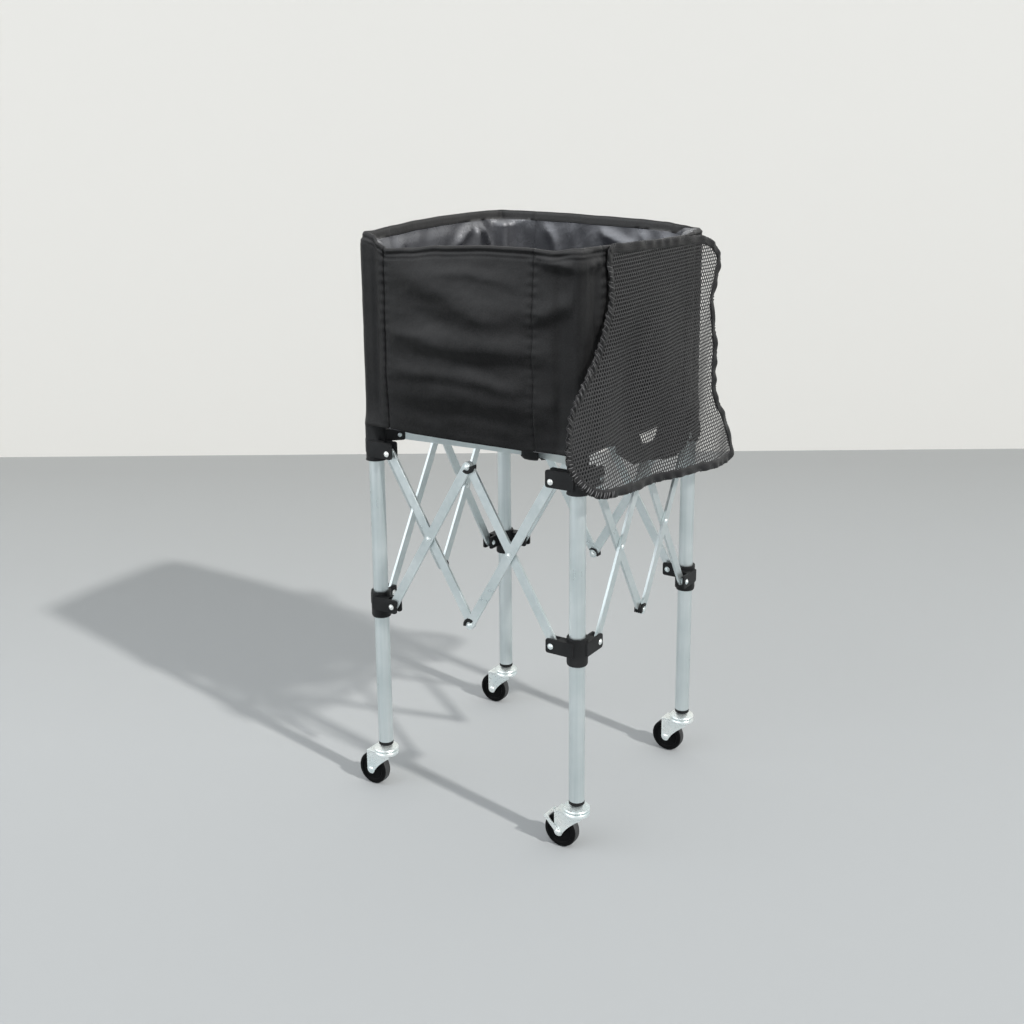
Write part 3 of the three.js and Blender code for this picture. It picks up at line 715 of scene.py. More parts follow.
def make_lever():
    lever = dressed("brake_lever", ZINC, LEVER_EDGE)
    for vertex in lever.data.vertices:
        arm = vertex.co - BRAKE_AXLE
        reach = math.hypot(arm.x, arm.z)
        if reach > PEDAL_FROM * MM:
            back = (reach - PEDAL_FROM * MM) * PEDAL_SHORTER + PEDAL_IN * MM
            vertex.co -= Vector((arm.x, 0, arm.z)) * (back / reach)


make_lever()

# %% [markdown]
# Domed rivet heads cover the CAD's plain ones: at the lugs, where the bars cross and at their
# free ends. Bars lie in two layers, so the heads of one bar sit at different depths.

# %% Rivets
REACH, CROSS_REACH, MID_REACH = 32.0, 99.75, HALF / MM
HIGH, CROSS, LOW = 535.0, 419.5, 304.0
INNER_FACE, OUTER_FACE = 5.4, 13.7
LUG_OUT, LUG_IN, CROSS_IN, CROSS_SHIFT = 17.6, 1.5, 5.1, 0.3
DOME_PROFILE = [
    (0, 2.2), (1.4, 2.1), (2.5, 1.6), (3.3, 0.8), (3.6, 0.3), (4.2, 0.25), (4.3, 0), (0, 0),
]


def side_plane(leg, side):
    """Matrix from a side's plane (along, up, outward) to the cart. Side b looks the other way."""
    turn = Matrix.Rotation(math.radians(-90), 4, "Z") if side == "b" else Matrix.Identity(4)
    return into_place(leg) @ turn @ Matrix.Rotation(math.radians(90), 4, "X")


def rivet_heads(bar, side):
    """(along, up, outward, way) of each head of a bar, in millimetres."""
    inner_layer = (bar == "upper_bar") == (side == "a")
    face, out = (INNER_FACE, -1) if inner_layer else (OUTER_FACE, 1)
    height = HIGH if bar == "upper_bar" else LOW
    heads = [(REACH, height, LUG_OUT, 1), (REACH, height, LUG_IN, -1)]
    heads.append((MID_REACH, LOW if bar == "upper_bar" else HIGH, face, out))
    if bar == "upper_bar":
        shift = CROSS_SHIFT if side == "a" else 0.0
        heads.append((CROSS_REACH, CROSS, OUTER_FACE + shift, 1))
        heads.append((CROSS_REACH, CROSS, CROSS_IN + shift, -1))
    return heads


def make_rivets():
    dome = smooth(lathed("dome", DOME_PROFILE, 20), 40)
    for leg in LEG_NAMES:
        for side in "ab":
            for bar in ("upper_bar", "slider_bar"):
                heads = []
                for along, up, out, way in rivet_heads(bar, side):
                    along = along if side == "a" else -along
                    put = Matrix.Translation((along * MM, up * MM, out * MM))
                    flip = Matrix.Rotation(math.pi if way < 0 else 0, 4, "X")
                    heads.append(copied(dome, "head", side_plane(leg, side) @ put @ flip))
                piece = finished(joined(f"{leg}_{bar}_{side}_rivets", *heads), ZINC)
                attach(piece, f"{leg}_{bar}_{side}")
    bpy.data.objects.remove(dome)


make_rivets()

# %% [markdown]
# ## Cloth finishes
#
# The bag is woven polyester: matt outside, and coated inside, where it shines and shows every
# fold. The weave is two crossing waves of thread, written in the UV map's metres.

# %% Cloth finishes
THREAD, WAVES_PER_PITCH = 0.0011, 0.314
# Painted light: the cloth's colour is lighter where its points face up, as if lit from above.
PAINTED_LIGHT_LEVEL, PAINTED_LIGHT_ON_TOP = 0.24, 1.05


def weave(cloth):
    vector = cloth.coordinates(cloth=True)
    made = []
    for direction in ("X", "Y"):
        scale = WAVES_PER_PITCH / THREAD
        wave = cloth.add("ShaderNodeTexWave", Scale=scale, Distortion=0.4, Detail=1.0)
        wave.bands_direction = direction
        cloth.link(vector, wave.inputs["Vector"])
        made.append(wave.outputs["Fac"])
    return cloth.math("MULTIPLY", *made)


def woven_black(name, dark, light, shine, roughness, crinkle, metal=0.0):
    """Cloth from its dark colour to its lighter one: the lighter colour is painted light on
    up-facing places and painted highlights on the pole ridges, with random mottle.
    """
    cloth = Finish(
        name, Sheen_Weight=0.03, Sheen_Roughness=0.45, Specular_IOR_Level=shine, Metallic=metal,
    )
    threads = weave(cloth)
    place = cloth.coordinates()
    patch = cloth.noise(place, 16.0, 4.0, 0.6)
    crease = cloth.noise(place, 70.0, 5.0, 0.62)
    grain = cloth.noise(place, 620.0, 2.0, 0.7)
    # Painted light and painted highlights, read from a point attribute, lighten the colour.
    painted_light = cloth.add("ShaderNodeAttribute")
    painted_light.attribute_name = "painted_light"
    patches = cloth.math("MULTIPLY", cloth.math("SUBTRACT", patch, 0.5), 0.35)
    grains = cloth.math("MULTIPLY", cloth.math("SUBTRACT", grain, 0.5), 0.5)
    spread = cloth.math("ADD", patches, grains)
    painted_light_and_mottle = cloth.math("ADD", painted_light.outputs["Fac"], spread)
    cloth.set("Base Color", cloth.between(painted_light_and_mottle, dark, light))
    cloth.set("Roughness", cloth.between(patch, roughness - 0.06, roughness + 0.06, 0.3, 0.7))
    cloth.relief((crease, crinkle), (threads, 0.12))
    return cloth.material


def with_painted_light(piece, worn=None):
    """Painted light: points that face up get a lighter colour, kept in a point attribute, with any
    painted highlight that the worn argument gives.
    """
    painted_light = piece.data.attributes.new("painted_light", "FLOAT", "POINT")
    for vertex, value in zip(piece.data.vertices, painted_light.data):
        value.value = min(1.0, max(0.0, PAINTED_LIGHT_LEVEL + PAINTED_LIGHT_ON_TOP * vertex.normal.z))
        if worn is not None:
            value.value = max(value.value, worn(vertex))
    return piece


CLOTH = woven_black(
    "black polyester", (0.002, 0.0021, 0.0023), (0.050, 0.050, 0.051), 0.14, 0.4, 0.6
)
LINING = woven_black(
    "coated lining", (0.06, 0.063, 0.073), (0.26, 0.265, 0.28), 0.8, 0.28, 0.4, 0.4
)
TAPE = woven_black("hem tape", (0.018, 0.018, 0.018), (0.11, 0.11, 0.11), 0.4, 0.5, 0.8)
BINDING = woven_black(
    "black binding", (0.0018, 0.0018, 0.002), (0.024, 0.024, 0.026), 0.2, 0.4, 0.3
)

# %% [markdown]
# ## The bag
#
# The bag is a lofted shell, sewn from four walls and four pole pockets. Each piece is a closed
# loop of cloth all the way round: up the outside, over a rolled rim, down a hem and on down the
# lining. A grid is added, and its points are moved to where the cloth hangs. The outside sags
# between the poles, creases where it is pulled and dips along its stitching.
#
# Distances along the rim start at the left leg. A fold is (height, reach above, reach below,
# line), and its line is drawn on the wall as (distance from the wall's first leg, height) points,
# all in millimetres. Walls are numbered from the left leg's. The pleats are folds of the lining.

# %% The rim's height and the folds, read off the photograph
SPAN = 2 * HALF / MM
RIM_MM = [
    (0, 846), (14, 843), (26, 833), (42, 826), (78, 828.5), (130, 834), (211, 838), (268, 838),
    (306, 836), (335, 840), (365, 840), (416, 838.5), (472, 836.5), (546, 834), (610, 833),
    (650, 836), (670, 837.5), (691, 840), (724, 843.5), (765, 846), (830, 848), (896, 850),
    (942, 850.5), (989, 851), (1005, 851.5), (1030, 852), (1086, 852.5), (1151, 852.5),
    (1214, 851), (1268, 848), (1315, 845), (1340, 846),
]
FOLDS_MM = {
    0: [
        (6.5, 34, 24, [(42, 809), (90, 790), (142, 775), (171, 757), (205, 745), (262, 753)]),
        (1.5, 10, 6, [(46, 709), (112, 712)]),
        (6.0, 20, 15, [(60, 708), (120, 704), (180, 701), (292, 704)]),
        (3.2, 13, 9, [(38, 654), (129, 661), (215, 657), (250, 650)]),
        (5.0, 24, 17, [(50, 626), (169, 634), (290, 629)]),
        (3.6, 14, 12, [(276, 746), (312, 762), (336, 774)]),
        (4.5, 7, 8, [(284, 825), (308, 820), (340, 815)]),
        (2.0, 9, 7, [(120, 798), (180, 800), (250, 790)]),
    ],
    1: [
        (1.8, 24, 12, [(60, 790), (120, 735), (160, 728)]),
        (2.0, 20, 10, [(90, 660), (190, 646), (260, 655)]),
        (1.5, 18, 9, [(180, 770), (260, 730)]), (3.5, 7, 8, [(0, 815), (16, 818), (34, 823)]),
    ],
    2: [
        (5.0, 28, 14, [(52, 800), (130, 742), (190, 728)]),
        (4.5, 20, 11, [(80, 690), (180, 700), (262, 676)]),
        (3.5, 16, 9, [(60, 620), (170, 606)]),
    ],
    3: [
        (5.0, 26, 13, [(48, 805), (110, 760), (180, 748)]),
        (4.5, 20, 11, [(84, 702), (190, 690), (250, 708)]),
        (3.8, 18, 10, [(140, 628), (262, 640)]),
    ],
}
PLEATS_MM = {
    0: [(5, 9, 9, [(250, 826), (270, 790)]), (4, 9, 9, [(90, 824), (110, 770)])],
    1: [(5, 9, 9, [(80, 828), (60, 780)]), (4, 9, 9, [(200, 826), (216, 780)])],
    2: [
        (5, 7, 7, [(168, 838), (150, 819), (118, 806), (90, 800)]),
        (4, 8, 8, [(262, 836), (244, 806), (236, 760)]),
        (3.5, 9, 9, [(90, 836), (76, 790)]),
    ],
    3: [
        (8, 9, 9, [(66, 842), (95, 820), (124, 798)]),
        (7, 7, 7, [(60, 840), (62, 800), (66, 760)]),
        (9, 8, 8, [(52, 838), (36, 812), (22, 790)]),
        (4, 12, 12, [(250, 838), (262, 790)]),
    ],
}
SEAM_A, SEAM_B = 36.5, 57.5
FOLD_END = 34


def along_curve(points, x):
    """Smooth height at x on a curve through (x, height) points."""
    for (x0, y0), (x1, y1) in zip(points, points[1:]):
        if x <= x1:
            t = max(0.0, (x - x0) / (x1 - x0))
            return y0 + (y1 - y0) * t * t * (3 - 2 * t)
    return points[-1][1]


def rim_height(around):
    return along_curve(RIM_MM, around % (4 * SPAN))


def ease(x, start, end):
    """0 before start, 1 after end and a smooth rise between them."""
    t = min(1.0, max(0.0, (x - start) / (end - start)))
    return t * t * (3 - 2 * t)


def bell(distance, width):
    """1 at no distance, and fading smoothly over the width."""
    return math.exp(-((distance / width) ** 2))


def lump(spot, across, up, shift=0.0):
    """Smooth noise with its own fineness across and up."""
    return noise.noise(Vector((spot.x * across, spot.y * across, spot.z * up + shift)))


def fold_height(fold, s, z):
    """How far one fold stands out at (s, z): it fades over its reach above and below its line."""
    height, above, below, line = fold
    best, nearest, before = 0.0, 1e9, 0.0
    total = sum(math.dist(start, end) for start, end in zip(line, line[1:]))
    for (s0, z0), (s1, z1) in zip(line, line[1:]):
        along, up = s1 - s0, z1 - z0
        length = math.hypot(along, up)
        t = ((s - s0) * along + (z - z0) * up) / length**2
        end = max(0.0, -t, t - 1) * length
        t = min(1.0, max(0.0, t))
        away_s, away_z = s - s0 - t * along, z - z0 - t * up
        distance = math.hypot(away_s, away_z)
        if distance < nearest:
            nearest = distance
            reach = above if away_z > 0 else below
            share = (before + t * length) / total
            taper = (0.35 + 0.65 * ease(share, 0, 0.3)) * (1 - 0.65 * ease(share, 0.7, 1))
            best = bell(distance, reach) * taper * bell(end, FOLD_END)
        before += length
    return height * best


# %% How far the cloth stands out at each place
OUTSIDE, AT_POLE, POLE_END, BAG_LOW, HEM_DEPTH = 15.0, 12.4, 831.0, 572, 14.0
BILLOW_MM = {0: 10.0, 1: 5.0, 2: 9.0, 3: 9.0}


def outside_relief(around, z, spot):
    """Millimetres that the outer cloth stands beyond its flat place.

    In turn: the wall's belly, the pinch beside the pole, lumps, folds, the two seams with their
    puckers, the roll and stitching of the rim, and the bottom seam.
    """
    side, s = int(around // SPAN) % 4, around % SPAN
    from_pole = min(s, SPAN - s)
    top = rim_height(around)
    height = min(1.0, max(0.0, (z - BAG_LOW) / (top - BAG_LOW)))
    slack = math.sin(math.pi * s / SPAN)
    belly = math.sin(math.pi * height**1.15) if height < 1 else 0.0
    relief = slack * (BILLOW_MM[side] * max(0.0, belly) ** 0.85 - 2.0 * height**4)
    relief -= 3.2 * bell(from_pole - 20, 6.5) * max(0.0, math.sin(math.pi * height)) ** 0.4
    at_pole = 1 - ease(from_pole, 5, 30)
    relief -= (OUTSIDE - AT_POLE) * at_pole * (1 - 0.9 * bell(z - BAG_LOW, 14))
    low, fine, tiny = lump(spot, 9, 26), lump(spot, 30, 60, 7), lump(spot, 85, 110, 3)
    relief += (2.6 * low * (1.15 - height) + 0.8 * fine + 0.25 * tiny) * (0.22 + 0.78 * slack)
    relief += sum(fold_height(fold, s, z) for fold in FOLDS_MM[side])
    for seam in (SEAM_A, SPAN - SEAM_B):
        away = s - seam
        relief -= 1.5 * bell(away, 1.7)
        relief += 0.45 * math.sin(z / 2.1 + side) * bell(away, 8)
    relief += 1.1 * bell(top - 3 - z, 2.6) - 0.9 * bell(top - 8 - z, 1.6)
    relief -= 0.6 * bell(top - HEM_DEPTH - z, 1.3)
    relief += 0.6 * bell(z - 574, 3)
    if from_pole < 15 and z < POLE_END:
        relief = max(relief, AT_POLE - OUTSIDE - 0.5)
    return relief - 6.0 * bell(from_pole, 24) * ease(z, POLE_END, top + 2)


def inside_folds(around, z, spot):
    """Millimetres that the lining stands inward of its flat place."""
    side, s = int(around // SPAN) % 4, around % SPAN
    below = ease(rim_height(around) - HEM_DEPTH - z, 0, 16)
    folds = 4.5 * max(0.0, lump(spot, 24, 7, side) + 0.3) + 1.6 * lump(spot, 60, 18, 3)
    folds += sum(fold_height(pleat, s, z) for pleat in PLEATS_MM[side])
    return below * max(-1.0, folds)


# %% [markdown]
# One ring of points runs round each loop of cloth. Rows count up the outside, over the rim and
# down the inside, and the same rows serve walls and pockets, so that they meet at the seams.

# %% Rows of the loop of cloth
OUTER_ROWS, ROLL_ROWS, HEM_ROWS, CAP_ROWS, LINING_ROWS = 88, 4, 4, 5, 44
ROWS = OUTER_ROWS + ROLL_ROWS + HEM_ROWS + CAP_ROWS + LINING_ROWS
TUBE_TOP, CLOTH_BOTTOM, MIDDLE_DROP, ROLL_START = 836.4, 572.6, 2.4, 1.6
ROLL_STEPS = (0.4, 0.7), (1.5, 0.0), (2.9, 0.0), (4.0, 0.7)
HEM_IN, LINING_IN = 4.4, 4.5


def cloth_point(row, around, outer, normal, inner, pocket):
    """Place of one row: outer and inner are the flat places, normal points out of the bag."""
    top = rim_height(around)
    hem_end = top - HEM_DEPTH + pocket * max(0.0, TUBE_TOP - (top - HEM_DEPTH))
    if row <= OUTER_ROWS:
        from_pole = min(around % SPAN, -around % SPAN)
        bottom = CLOTH_BOTTOM - MIDDLE_DROP * ease(from_pole, 44, 80)
        z = bottom + (top - ROLL_START - bottom) * (1 - (1 - row / OUTER_ROWS) ** 1.5)
        flat = Vector((*outer, z))
        return flat + outside_relief(around, z, flat * MM) * normal
    out = outside_relief(around, top - ROLL_START, Vector((*outer, top)) * MM)
    edge = Vector((*outer, 0)) + out * normal
    row -= OUTER_ROWS
    if row <= ROLL_ROWS:
        depth, drop = ROLL_STEPS[row - 1]
        return edge - depth * normal + Vector((0, 0, top - drop))
    row -= ROLL_ROWS
    hem = edge - HEM_IN * normal
    if row <= HEM_ROWS:
        t = (row - 1) / (HEM_ROWS - 1)
        return hem + Vector((0, 0, top - ROLL_START + (hem_end - top + ROLL_START) * t))
    row -= HEM_ROWS
    spot = Vector((*inner, hem_end)) * MM
    if row <= CAP_ROWS:
        bend = math.pi / 2 * row / (CAP_ROWS + 1)
        flat = hem.lerp(Vector((*inner, 0)), math.sin(bend))
        return flat + Vector((0, 0, hem_end - (1.0 + 9 * pocket) * (1 - math.cos(bend))))
    row -= CAP_ROWS
    lining_top = hem_end - 1.2 - 10 * pocket
    z = lining_top - (lining_top - CLOTH_BOTTOM) * (row - 1) / (LINING_ROWS - 1)
    spot.z = z * MM
    return Vector((*inner, z)) - inside_folds(around, z, spot) * normal


# %% Grid of cloth, moved into place and closed
LOOP_LENGTH = 2 * (838 - BAG_LOW)


def cloth_loop(name, columns, place, length):
    """A closed loop of cloth: place(share along, row) gives each point, in millimetres."""
    bpy.ops.mesh.primitive_grid_add(x_subdivisions=columns, y_subdivisions=ROWS, size=1)
    piece = named(name)
    rows_of = {}
    for vertex in piece.data.vertices:
        share, row = vertex.co.x + 0.5, round((vertex.co.y + 0.5) * ROWS) % ROWS
        rows_of[vertex.index] = row
        vertex.co = place(share, row) * MM
    lined = OUTER_ROWS + ROLL_ROWS + HEM_ROWS
    for face in piece.data.polygons:
        first = min(rows_of[i] for i in face.vertices)
        face.material_index = 1 if first >= lined else 2 if first >= lined - HEM_ROWS + 1 else 0
    for corner in piece.data.uv_layers.active.data:
        corner.uv = (corner.uv[0] * length * MM, corner.uv[1] * LOOP_LENGTH * MM)
    with edit_mode(piece):
        bpy.ops.mesh.remove_doubles(threshold=MERGE)
        fill_open_ends()
        bpy.ops.mesh.select_all(action="SELECT")
        bpy.ops.mesh.normals_make_consistent(inside=False)
    return smooth(finished(piece, CLOTH, LINING, TAPE), 55)


# %% Walls
WALL_COLUMNS, POCKET_COLUMNS = 92, 60


def squash_side(piece):
    """Give the cloth of a side a mesh of its own."""
    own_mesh(piece)


def make_wall(leg):
    side = LEG_NAMES.index(leg)
    start, end = SEAM_A, SPAN - SEAM_B

    def place(share, row):
        s = start + (end - start) * share
        outer, inner = (s, -OUTSIDE), (s, -OUTSIDE + LINING_IN)
        return cloth_point(row, side * SPAN + s, outer, Vector((0, -1, 0)), inner, 0.0)

    wall = cloth_loop(f"{leg}_wall_cloth", WALL_COLUMNS, place, end - start)
    with_painted_light(settled(wall, into_place(leg)))
    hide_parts(f"{leg}_bag_wall")
    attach(wall, f"{leg}_leg")
    squash_side(wall)


for leg in LEG_NAMES:
    make_wall(leg)

# %% [markdown]
# A pole pocket wraps round its tube. Outside it follows the wall planes and a rounded corner.
# Inside, the lining goes round the far side of the tube, and its hem closes the pocket's top.

# %% Pole pockets
POCKET_INSIDE = [
    (-10.5, 57.5), (-9.6, 40), (-5, 25), (2.5, 17.6), (9.5, 15.8), (14.4, 12.6), (16.2, 5),
    (19, -3.5), (27, -8.7), (36.5, -10.5),
]
ARC, POCKET_END = OUTSIDE * math.pi / 2, 34
POCKET_LENGTH = SEAM_B + ARC + SEAM_A


def on_curve(before, a, b, after, t):
    """The point at share t from a to b, on a smooth curve through all four points."""
    pull_a, pull_b = (b - before) / 2, (after - a) / 2
    return (
        (2 * t**3 - 3 * t**2 + 1) * a + (t**3 - 2 * t**2 + t) * pull_a
        + (3 * t**2 - 2 * t**3) * b + (t**3 - t**2) * pull_b
    )


def pocket_outside(share):
    """Flat place and outward direction on the outer path, and the distance along the side."""
    length = share * POCKET_LENGTH
    if length < SEAM_B:
        return (-OUTSIDE, SEAM_B - length), Vector((-1, 0, 0)), length - SEAM_B
    if length < SEAM_B + ARC:
        angle = math.pi + (length - SEAM_B) / OUTSIDE
        out = Vector((math.cos(angle), math.sin(angle), 0))
        return (OUTSIDE * out.x, OUTSIDE * out.y), out, 0.0
    s = length - SEAM_B - ARC
    return (s, -OUTSIDE), Vector((0, -1, 0)), s


def pocket_inside(share):
    """A smooth path through the inner points, by share of its length."""
    points = [Vector(point) for point in POCKET_INSIDE]
    steps = [(b - a).length for a, b in zip(points, points[1:])]
    left = share * sum(steps)
    for i, step in enumerate(steps):
        if left <= step or i == len(steps) - 1:
            break
        left -= step
    before, after = points[max(0, i - 1)], points[min(len(points) - 1, i + 2)]
    return on_curve(before, points[i], points[i + 1], after, min(1.0, left / step))


def make_pocket(leg):
    number = LEG_NAMES.index(leg)
    corner = (LEG[leg] - CENTRE).normalized()

    def place(share, row):
        outer, out, s = pocket_outside(share)
        inner = pocket_inside(share)
        pocket = min(1.0, max(0.0, (POCKET_END - abs(s)) / 16))
        around = (number * SPAN + s) % (4 * SPAN)
        return cloth_point(row, around, outer, out, inner, pocket)

    # Painted highlight: the cloth that faces straight out from the corner, along the pole's ridge,
    # is painted lighter.
    def painted_ridge_highlight(vertex):
        facing = vertex.normal.x * corner.x + vertex.normal.y * corner.y
        return ease(facing, 0.95, 0.995)

    pocket = cloth_loop(f"{leg}_pole_pocket", POCKET_COLUMNS, place, POCKET_LENGTH)
    with_painted_light(settled(pocket, into_place(leg)), painted_ridge_highlight)
    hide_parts(f"{leg}_bag_sleeve")
    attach(pocket, f"{leg}_leg")


for leg in LEG_NAMES:
    make_pocket(leg)

# %% [markdown]
# ## The bag's floor
#
# The floor lies on the four braces and hangs a little between them. The CAD quarter is cut into
# strips with bisect, and its points are then moved up and down together, top and underside. Its
# outer edge is let out a little, so that it meets the lining.

# %% Floor quarters
FLOOR_STRIP, FLOOR_HALF, FLOOR_SAG, BRACE_HOLD = 0.012, 0.18, 0.004, 0.05
FLOOR_EDGE, NOTCH, TO_THE_WALL = 0.178, 0.14, 0.009


def make_floor(leg):
    node = f"{leg}_floor_quarter"
    piece = taken_over(node, f"{leg}_floor_cloth")
    with edit_mode(piece):
        for axis in (0, 1):
            cut_in_strips(axis, [step * FLOOR_STRIP for step in range(-15, 16)])
    for vertex in piece.data.vertices:
        x, y = vertex.co.x - CENTRE.x, vertex.co.y - CENTRE.y
        far, near = max(abs(x), abs(y)), min(abs(x), abs(y))
        away = min(1.0, max(0.0, abs(abs(x) - abs(y)) / BRACE_HOLD))
        vertex.co.z -= FLOOR_SAG * away * math.sin(math.pi * min(1.0, far / FLOOR_HALF))
        vertex.co.z += 0.0012 * away * noise.noise(Vector((x * 40, y * 40, 0)))
        if far > FLOOR_EDGE and near < NOTCH:
            spread = (x if abs(x) > abs(y) else 0, y if abs(y) > abs(x) else 0, 0)
            vertex.co += Vector(spread) * TO_THE_WALL
    flat_map(piece)
    stands_for(with_painted_light(smooth(finished(piece, LINING), 50)), node)
    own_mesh(piece)


for leg in LEG_NAMES:
    make_floor(leg)

# %% [markdown]
# The quarters leave a notch round each leg and its bracket. A patch of the same cloth is sewn
# over it: a fan about the leg that laps over the floor and lies on the bracket's lug.

# %% Corner patches of the floor
COLLAR_CLEAR, PATCH_EDGE, PATCH_WALL, OVER_LUG, PATCH_TIP = 17.8, 22.5, 12.6, 9.2, 46.0
PATCH_SWING, PATCH_HEIGHT = 91.0, 572.2
DOWN_TO_HUB, UP_TO_SIDES = 0.198, 0.194


def patch_reach(swing):
    """Millimetres from the leg's axis to the patch's edge, at degrees off the diagonal."""
    off, side = math.radians(abs(swing)), math.radians(45 + abs(swing))
    reach = PATCH_EDGE / math.sin(side)
    if side > math.pi / 2:
        reach = min(reach, -PATCH_WALL / math.cos(side))
    over_lug = min(OVER_LUG / max(1e-6, math.sin(off)), PATCH_TIP / math.cos(off))
    return max(COLLAR_CLEAR + 0.4, reach, over_lug)


def make_patch(leg):
    bpy.ops.mesh.primitive_grid_add(x_subdivisions=60, y_subdivisions=6, size=1)
    piece = named(f"{leg}_floor_patch")
    for vertex in piece.data.vertices:
        swing = -2 * PATCH_SWING * vertex.co.x
        share = vertex.co.y + 0.5
        reach = COLLAR_CLEAR + share * (patch_reach(swing) - COLLAR_CLEAR)
        along = reach * math.cos(math.radians(swing))
        across = reach * math.sin(math.radians(swing))
        height = PATCH_HEIGHT - DOWN_TO_HUB * along + UP_TO_SIDES * math.hypot(across, 2.0)
        angle = math.radians(45 + swing)
        vertex.co = Vector((reach * math.cos(angle), reach * math.sin(angle), height)) * MM
    modified(piece, "SOLIDIFY", thickness=1.0 * MM, offset=-1)
    flat_map(settled(piece, into_place(leg)))
    with_painted_light(smooth(finished(piece, LINING), 50))
    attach(piece, f"{leg}_leg")


for leg in LEG_NAMES:
    make_patch(leg)

# %% [markdown]
# ## Caps at the middle of each side
#
# Where two bars meet at a side's middle, a ribbed plastic cap sits over the upper joint and
# another under the lower one. Each is a ribbed strip swept part of the way round the pivot.

# %% Middle caps
CAP_SECTION = [
    (7.3, 3.4), (9.6, 3.4), (9.9, 4.2), (9.0, 5.2), (9.9, 6.2), (9.9, 7.4), (9.0, 8.4), (9.9, 9.4),
    (9.9, 10.6), (9.0, 11.6), (9.9, 12.6), (9.9, 14.0), (9.3, 15.0), (5.1, 15.0), (4.8, 14.5),
    (5.1, 14.0), (7.3, 13.9),
]


def swept_cap(name, start, sweep):
    """A closed strip swept about Z from one angle, in degrees."""
    mesh = bpy.data.meshes.new(name)
    turn = Matrix.Rotation(math.radians(start), 3, "Z")
    points = [turn @ Vector((r * MM, 0, depth * MM)) for r, depth in CAP_SECTION]
    count = len(points)
    mesh.from_pydata(points, [(i, (i + 1) % count) for i in range(count)], [])
    piece = new_piece(name, mesh)
    with edit_mode(piece):
        bpy.ops.mesh.spin(steps=18, angle=math.radians(sweep), center=(0, 0, 0), axis=(0, 0, 1))
        fill_open_ends()
    return smooth(outward(piece), 35)


def make_caps():
    over, under = swept_cap("over", 16, 148), swept_cap("under", 196, 148)
    for leg in LEG_NAMES:
        for model, height, bar in ((over, HIGH, "slider_bar_a"), (under, LOW, "upper_bar_a")):
            put = side_plane(leg, "a") @ Matrix.Translation((MID_REACH * MM, height * MM, 0))
            piece = finished(copied(model, f"{leg}_{bar}_cap", put), PLASTIC)
            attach(piece, f"{leg}_{bar}")
    for model in (over, under):
        bpy.data.objects.remove(model)


make_caps()

# %% [markdown]
# ## The flap under the bag
#
# A flap of the bag's cloth hangs under the wall behind the net, with a hand hole at its top. It is
# drawn as an outline, given its thickness, cut into strips and then made to hang unevenly.

# %% Flap
FLAP_TOP, FLAP_THICK = 579, 1.1
FLAP_MM = [
    (71.5, 579), (71.5, 560), (98, 545), (120, 533.5), (142, 531), (160, 530), (198, 523),
    (239, 516), (258, 519), (271, 521), (284, 524), (285, 579), (196.5, 579), (196.5, 574),
    (188, 559), (178, 553.5), (143.5, 558), (137.5, 576), (137.5, 579),
]


def make_flap():
    flap = plate("under_flap", FLAP_MM, FLAP_THICK)
    with edit_mode(flap):
        for axis, first, last in ((0, 76, 285), (2, 521, FLAP_TOP)):
            cut_in_strips(axis, [place * MM for place in range(first, last, 5)])
    for vertex in flap.data.vertices:
        drop = (FLAP_TOP - vertex.co.z / MM) / 60
        ripple = noise.noise(Vector((vertex.co.x * 30, vertex.co.z * 12, 4)))
        vertex.co.y -= (OUTSIDE + 1.6 + 3.2 * drop + 2.4 * drop * ripple) * MM
    flat_map(flap, 2)
    settled(flap, into_place("front"))
    with_painted_light(finished(smooth(flap, 40), CLOTH))
    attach(flap, "front_leg")
    squash_side(flap)


make_flap()

# %% [markdown]
# ## The net cover
#
# The net is knitted with six-sided holes about 5.6 mm apart. One cell is a six-sided disc whose
# inside is inset and deleted. Two cells are repeated with array modifiers, the sheet is trimmed
# to the cover's outline, and its points are moved to where the net hangs.

# %% The cover's outline and how it hangs
NET_LOW, NET_HIGH = (Vector(corner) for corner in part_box("net_cover"))
COVER_LEAN = math.tan(math.radians(5.5))
COVER_EDGE = [
    (-123, 834), (-127, 771), (-163, 712), (-206, 676), (-247, 646), (-260, 605), (-249, 565),
    (-199, 529), (-83, 511), (20, 501), (104, 491), (182, 482), (228, 480), (242, 500),
    (218, 545), (190, 584), (193, 620), (203, 656), (200, 694), (192, 732), (206, 764), (217, 790),
    (196, 816), (156, 828), (100, 831), (15, 834.5), (-70, 838),
]


def rounded_loop(points, steps):
    """A smooth closed line through the points."""
    made = []
    count = len(points)
    for i in range(count):
        before, a, b, after = (Vector(points[(i + k) % count]) for k in (-1, 0, 1, 2))
        made += [on_curve(before, a, b, after, step / steps) for step in range(steps)]
    return made


def net_hang(y, z, stand=0.0):
    """Where a flat point of the cover hangs: y from the cart's middle and z up, in millimetres."""
    lean = (NET_HIGH.z / MM - z) * COVER_LEAN
    top = NET_HIGH.x / MM - 1.2 - (NET_HIGH.z - NET_LOW.z) / MM * COVER_LEAN
    free = min(1.0, max(0.0, (832 - z) / 120))
    billow = 3.4 * math.sin(y / 46 + z / 90) + 2.2 * math.sin(y / 21 - z / 37 + 1)
    over_leg = 5.0 * bell(y + 150, 60)
    x = top + lean + free * (billow + over_leg - 4.0) + stand
    return Vector((x, y + CENTRE.y / MM, z))


# %% Net
PITCH, STRAND, NET_THICK = 5.6, 0.88, 0.7
SHEET_Y, SHEET_Z = -266, 476
NET_LOOP = rounded_loop(COVER_EDGE, 6)


